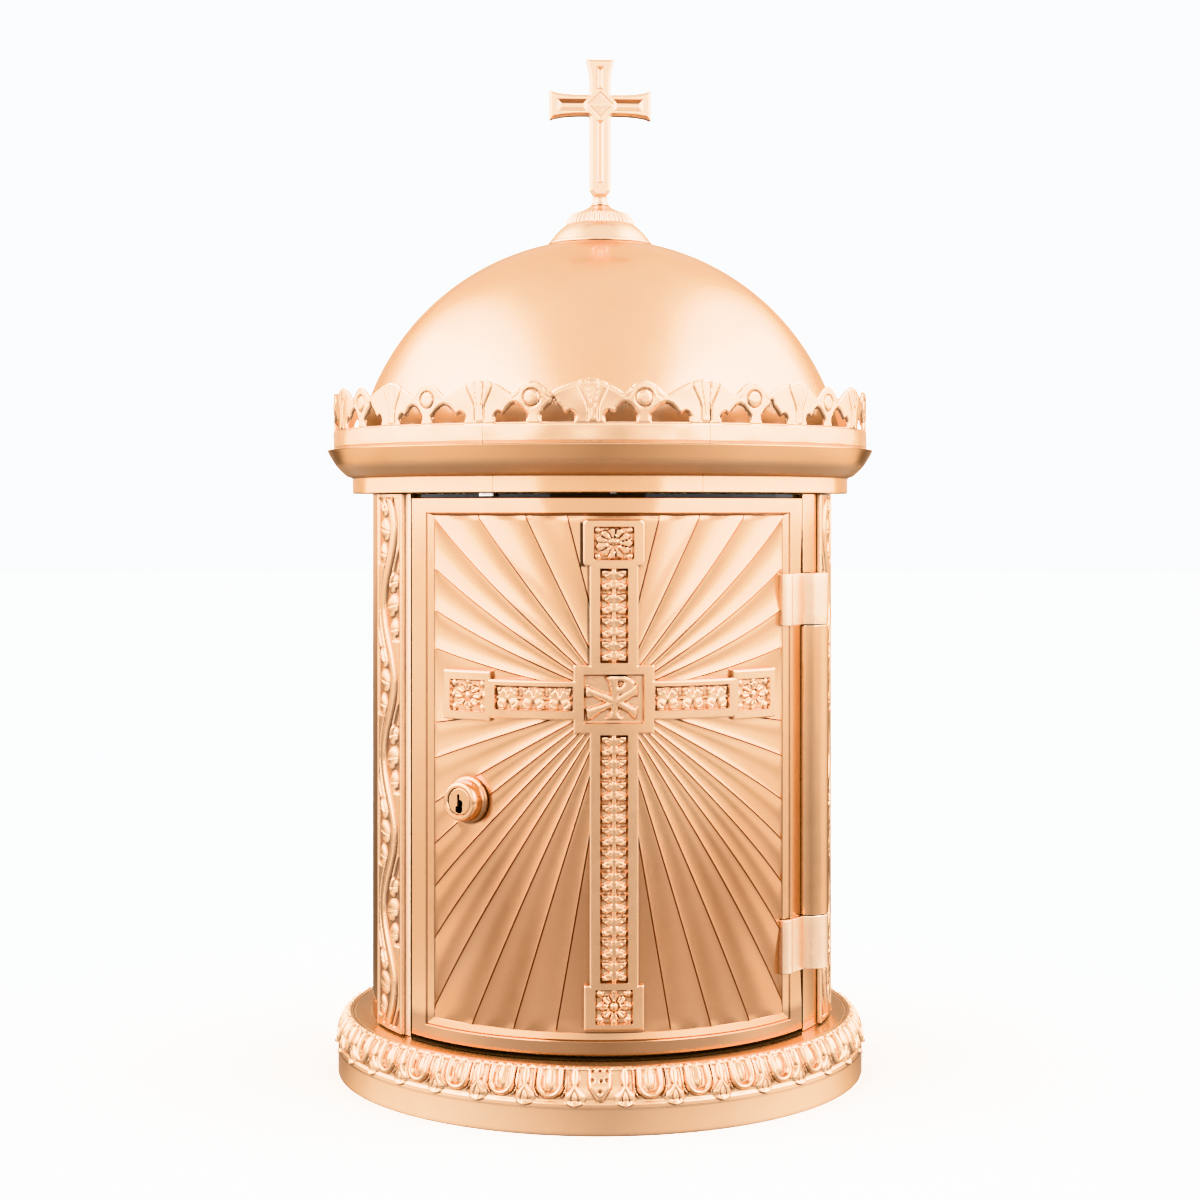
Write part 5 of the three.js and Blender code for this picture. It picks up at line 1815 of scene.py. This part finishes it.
# ---------------------------------------------------------------- light
def area(name, loc, target, size_x, size_y, power, color=(1, 1, 1)):
    d = bpy.data.lights.new(name, "AREA")
    d.shape = "RECTANGLE"
    d.size, d.size_y = size_x, size_y
    d.energy = power
    d.color = color
    o = bpy.data.objects.new(name, d)
    bpy.context.scene.collection.objects.link(o)
    from mathutils import Vector
    o.location = loc
    o.rotation_euler = (Vector(target) - Vector(loc)).to_track_quat("-Z", "Y").to_euler()
    return o


def at(phi, dist, z):
    return (dist * math.sin(phi * RAD), -dist * math.cos(phi * RAD), z)


C = -3.2
COOL = (0.90, 1.0, 1.09)
area("left_softbox", at(C - 80, 1.3, 1.02), (0, 0, 1.02), 3.4, 1.5, 92, COOL)
area("right_softbox", at(C + 80, 1.3, 1.02), (0, 0, 1.02), 3.4, 1.5, 92, COOL)

world = bpy.data.worlds.new("studio")
bpy.context.scene.world = world
world.use_nodes = True
wt = world.node_tree
wn = wt.nodes
bg = wn.get("Background") or wn.new("ShaderNodeBackground")
wtc = wn.new("ShaderNodeTexCoord")
wsep = wn.new("ShaderNodeSeparateXYZ")
wt.links.new(wtc.outputs["Generated"], wsep.inputs[0])


def wmath(op, a, b=None, c=None):
    x = wn.new("ShaderNodeMath")
    x.operation = op
    for i, val in enumerate((a, b, c)):
        if val is None:
            continue
        if isinstance(val, (int, float)):
            x.inputs[i].default_value = val
        else:
            wt.links.new(val, x.inputs[i])
    return x.outputs[0]


def wramp(fac, stops):
    """Piecewise linear value of fac; stops are (position, value)."""
    curve = wn.new("ShaderNodeFloatCurve")
    c = curve.mapping.curves[0]
    curve.mapping.use_clip = False
    lo, hi = stops[0][0], stops[-1][0]
    top = max(v for _, v in stops)
    pts = [((p - lo) / (hi - lo), v / top) for p, v in stops]
    while len(c.points) < len(pts):
        c.points.new(0.5, 0.5)
    for pt, (x, y) in zip(c.points, pts):
        pt.location = (x, y)
        pt.handle_type = "VECTOR"
    curve.mapping.update()
    t = wmath("DIVIDE", wmath("SUBTRACT", fac, lo), hi - lo)
    wt.links.new(t, curve.inputs["Value"])
    return wmath("MULTIPLY", curve.outputs["Value"], top)


# how bright the light tent is by height: dim towards the floor, bright above eye level
tent = wramp(wsep.outputs["Z"], [(-1.0, 0.55), (-0.5, 0.6), (-0.35, 0.85), (-0.27, 1.0), (-0.235, 0.8), (-0.2, 0.45),
                                 (-0.15, 0.45), (-0.1, 0.6), (-0.06, 0.82), (-0.02, 1.1), (0.02, 1.25), (0.1, 1.34),
                                 (0.4, 1.4), (1.0, 1.42)])
# brighter at both sides, low down
wside = wmath("ABSOLUTE", wsep.outputs["X"])
low = wramp(wsep.outputs["Z"], [(-1.0, 1.0), (-0.1, 0.6), (0.05, 0.0), (1.0, 0.0)])
wside = wramp(wside, [(0.0, 0.0), (0.5, 0.4), (0.8, 0.7), (0.9, 1.1), (1.0, 1.7)])
tent = wmath("MULTIPLY", tent, wmath("MULTIPLY_ADD", wmath("MULTIPLY", wside, low), 1.3, 1.0))
# dark behind the object, low down
wb = wramp(wsep.outputs["Y"], [(-1.0, 0.0), (0.45, 0.0), (0.85, 1.0), (1.0, 1.0)])
wz = wramp(wsep.outputs["Z"], [(-1.0, 0.0), (-0.35, 0.2), (-0.2, 1.0), (-0.08, 0.9), (-0.02, 0.35), (0.05, 0.35),
                                (0.12, 0.8), (0.3, 0.95), (0.42, 0.0), (1.0, 0.0)])
tent = wmath("MULTIPLY", tent, wmath("MULTIPLY_ADD", wmath("MULTIPLY", wb, wz), -0.5, 1.0))
# paler overhead at the left and right, and a small white reflector over the camera
reach = wramp(wmath("ABSOLUTE", wsep.outputs["X"]), [(0.0, 0.0), (0.4, 0.0), (0.54, 1.0), (1.0, 1.0)])
rise = wramp(wsep.outputs["Z"], [(-1.0, 0.0), (0.24, 0.0), (0.42, 1.0), (1.0, 1.0)])
rear = wramp(wsep.outputs["Y"], [(-1.0, 0.0), (0.5, 0.0), (0.75, 1.0), (1.0, 1.0)])
under = wramp(wsep.outputs["Z"], [(-1.0, 1.0), (0.34, 1.0), (0.54, 0.0), (1.0, 0.0)])
white = wmath("MULTIPLY", wmath("MULTIPLY", reach, rise), wmath("MULTIPLY_ADD", wmath("MULTIPLY", rear, under), -1.0, 1.0))
ahead = wmath("MULTIPLY", wramp(wsep.outputs["Y"], [(-1.0, 1.0), (-0.95, 1.0), (-0.86, 0.0), (1.0, 0.0)]),
              wramp(wsep.outputs["Z"], [(-1.0, 0.0), (0.1, 0.0), (0.15, 1.0), (0.25, 1.0), (0.3, 0.0), (1.0, 0.0)]))
tent = wmath("MULTIPLY_ADD", white, 9.0, tent)
tent = wmath("MULTIPLY_ADD", ahead, 2.4, tent)
wt.links.new(tent, bg.inputs["Strength"])
wmix = wn.new("ShaderNodeMix")
wmix.data_type = "RGBA"
wmix.inputs[6].default_value = (1.0, 0.82, 0.66, 1.0)
wmix.inputs[7].default_value = (0.93, 1.0, 1.06, 1.0)
wt.links.new(wramp(tent, [(0.0, 0.0), (0.55, 0.0), (1.55, 1.0), (4.0, 1.0)]), wmix.inputs[0])
wt.links.new(wmix.outputs[2], bg.inputs["Color"])

sc = bpy.context.scene
sc.view_settings.view_transform = "Khronos PBR Neutral"
sc.view_settings.look = "None"
sc.view_settings.exposure = 0.0
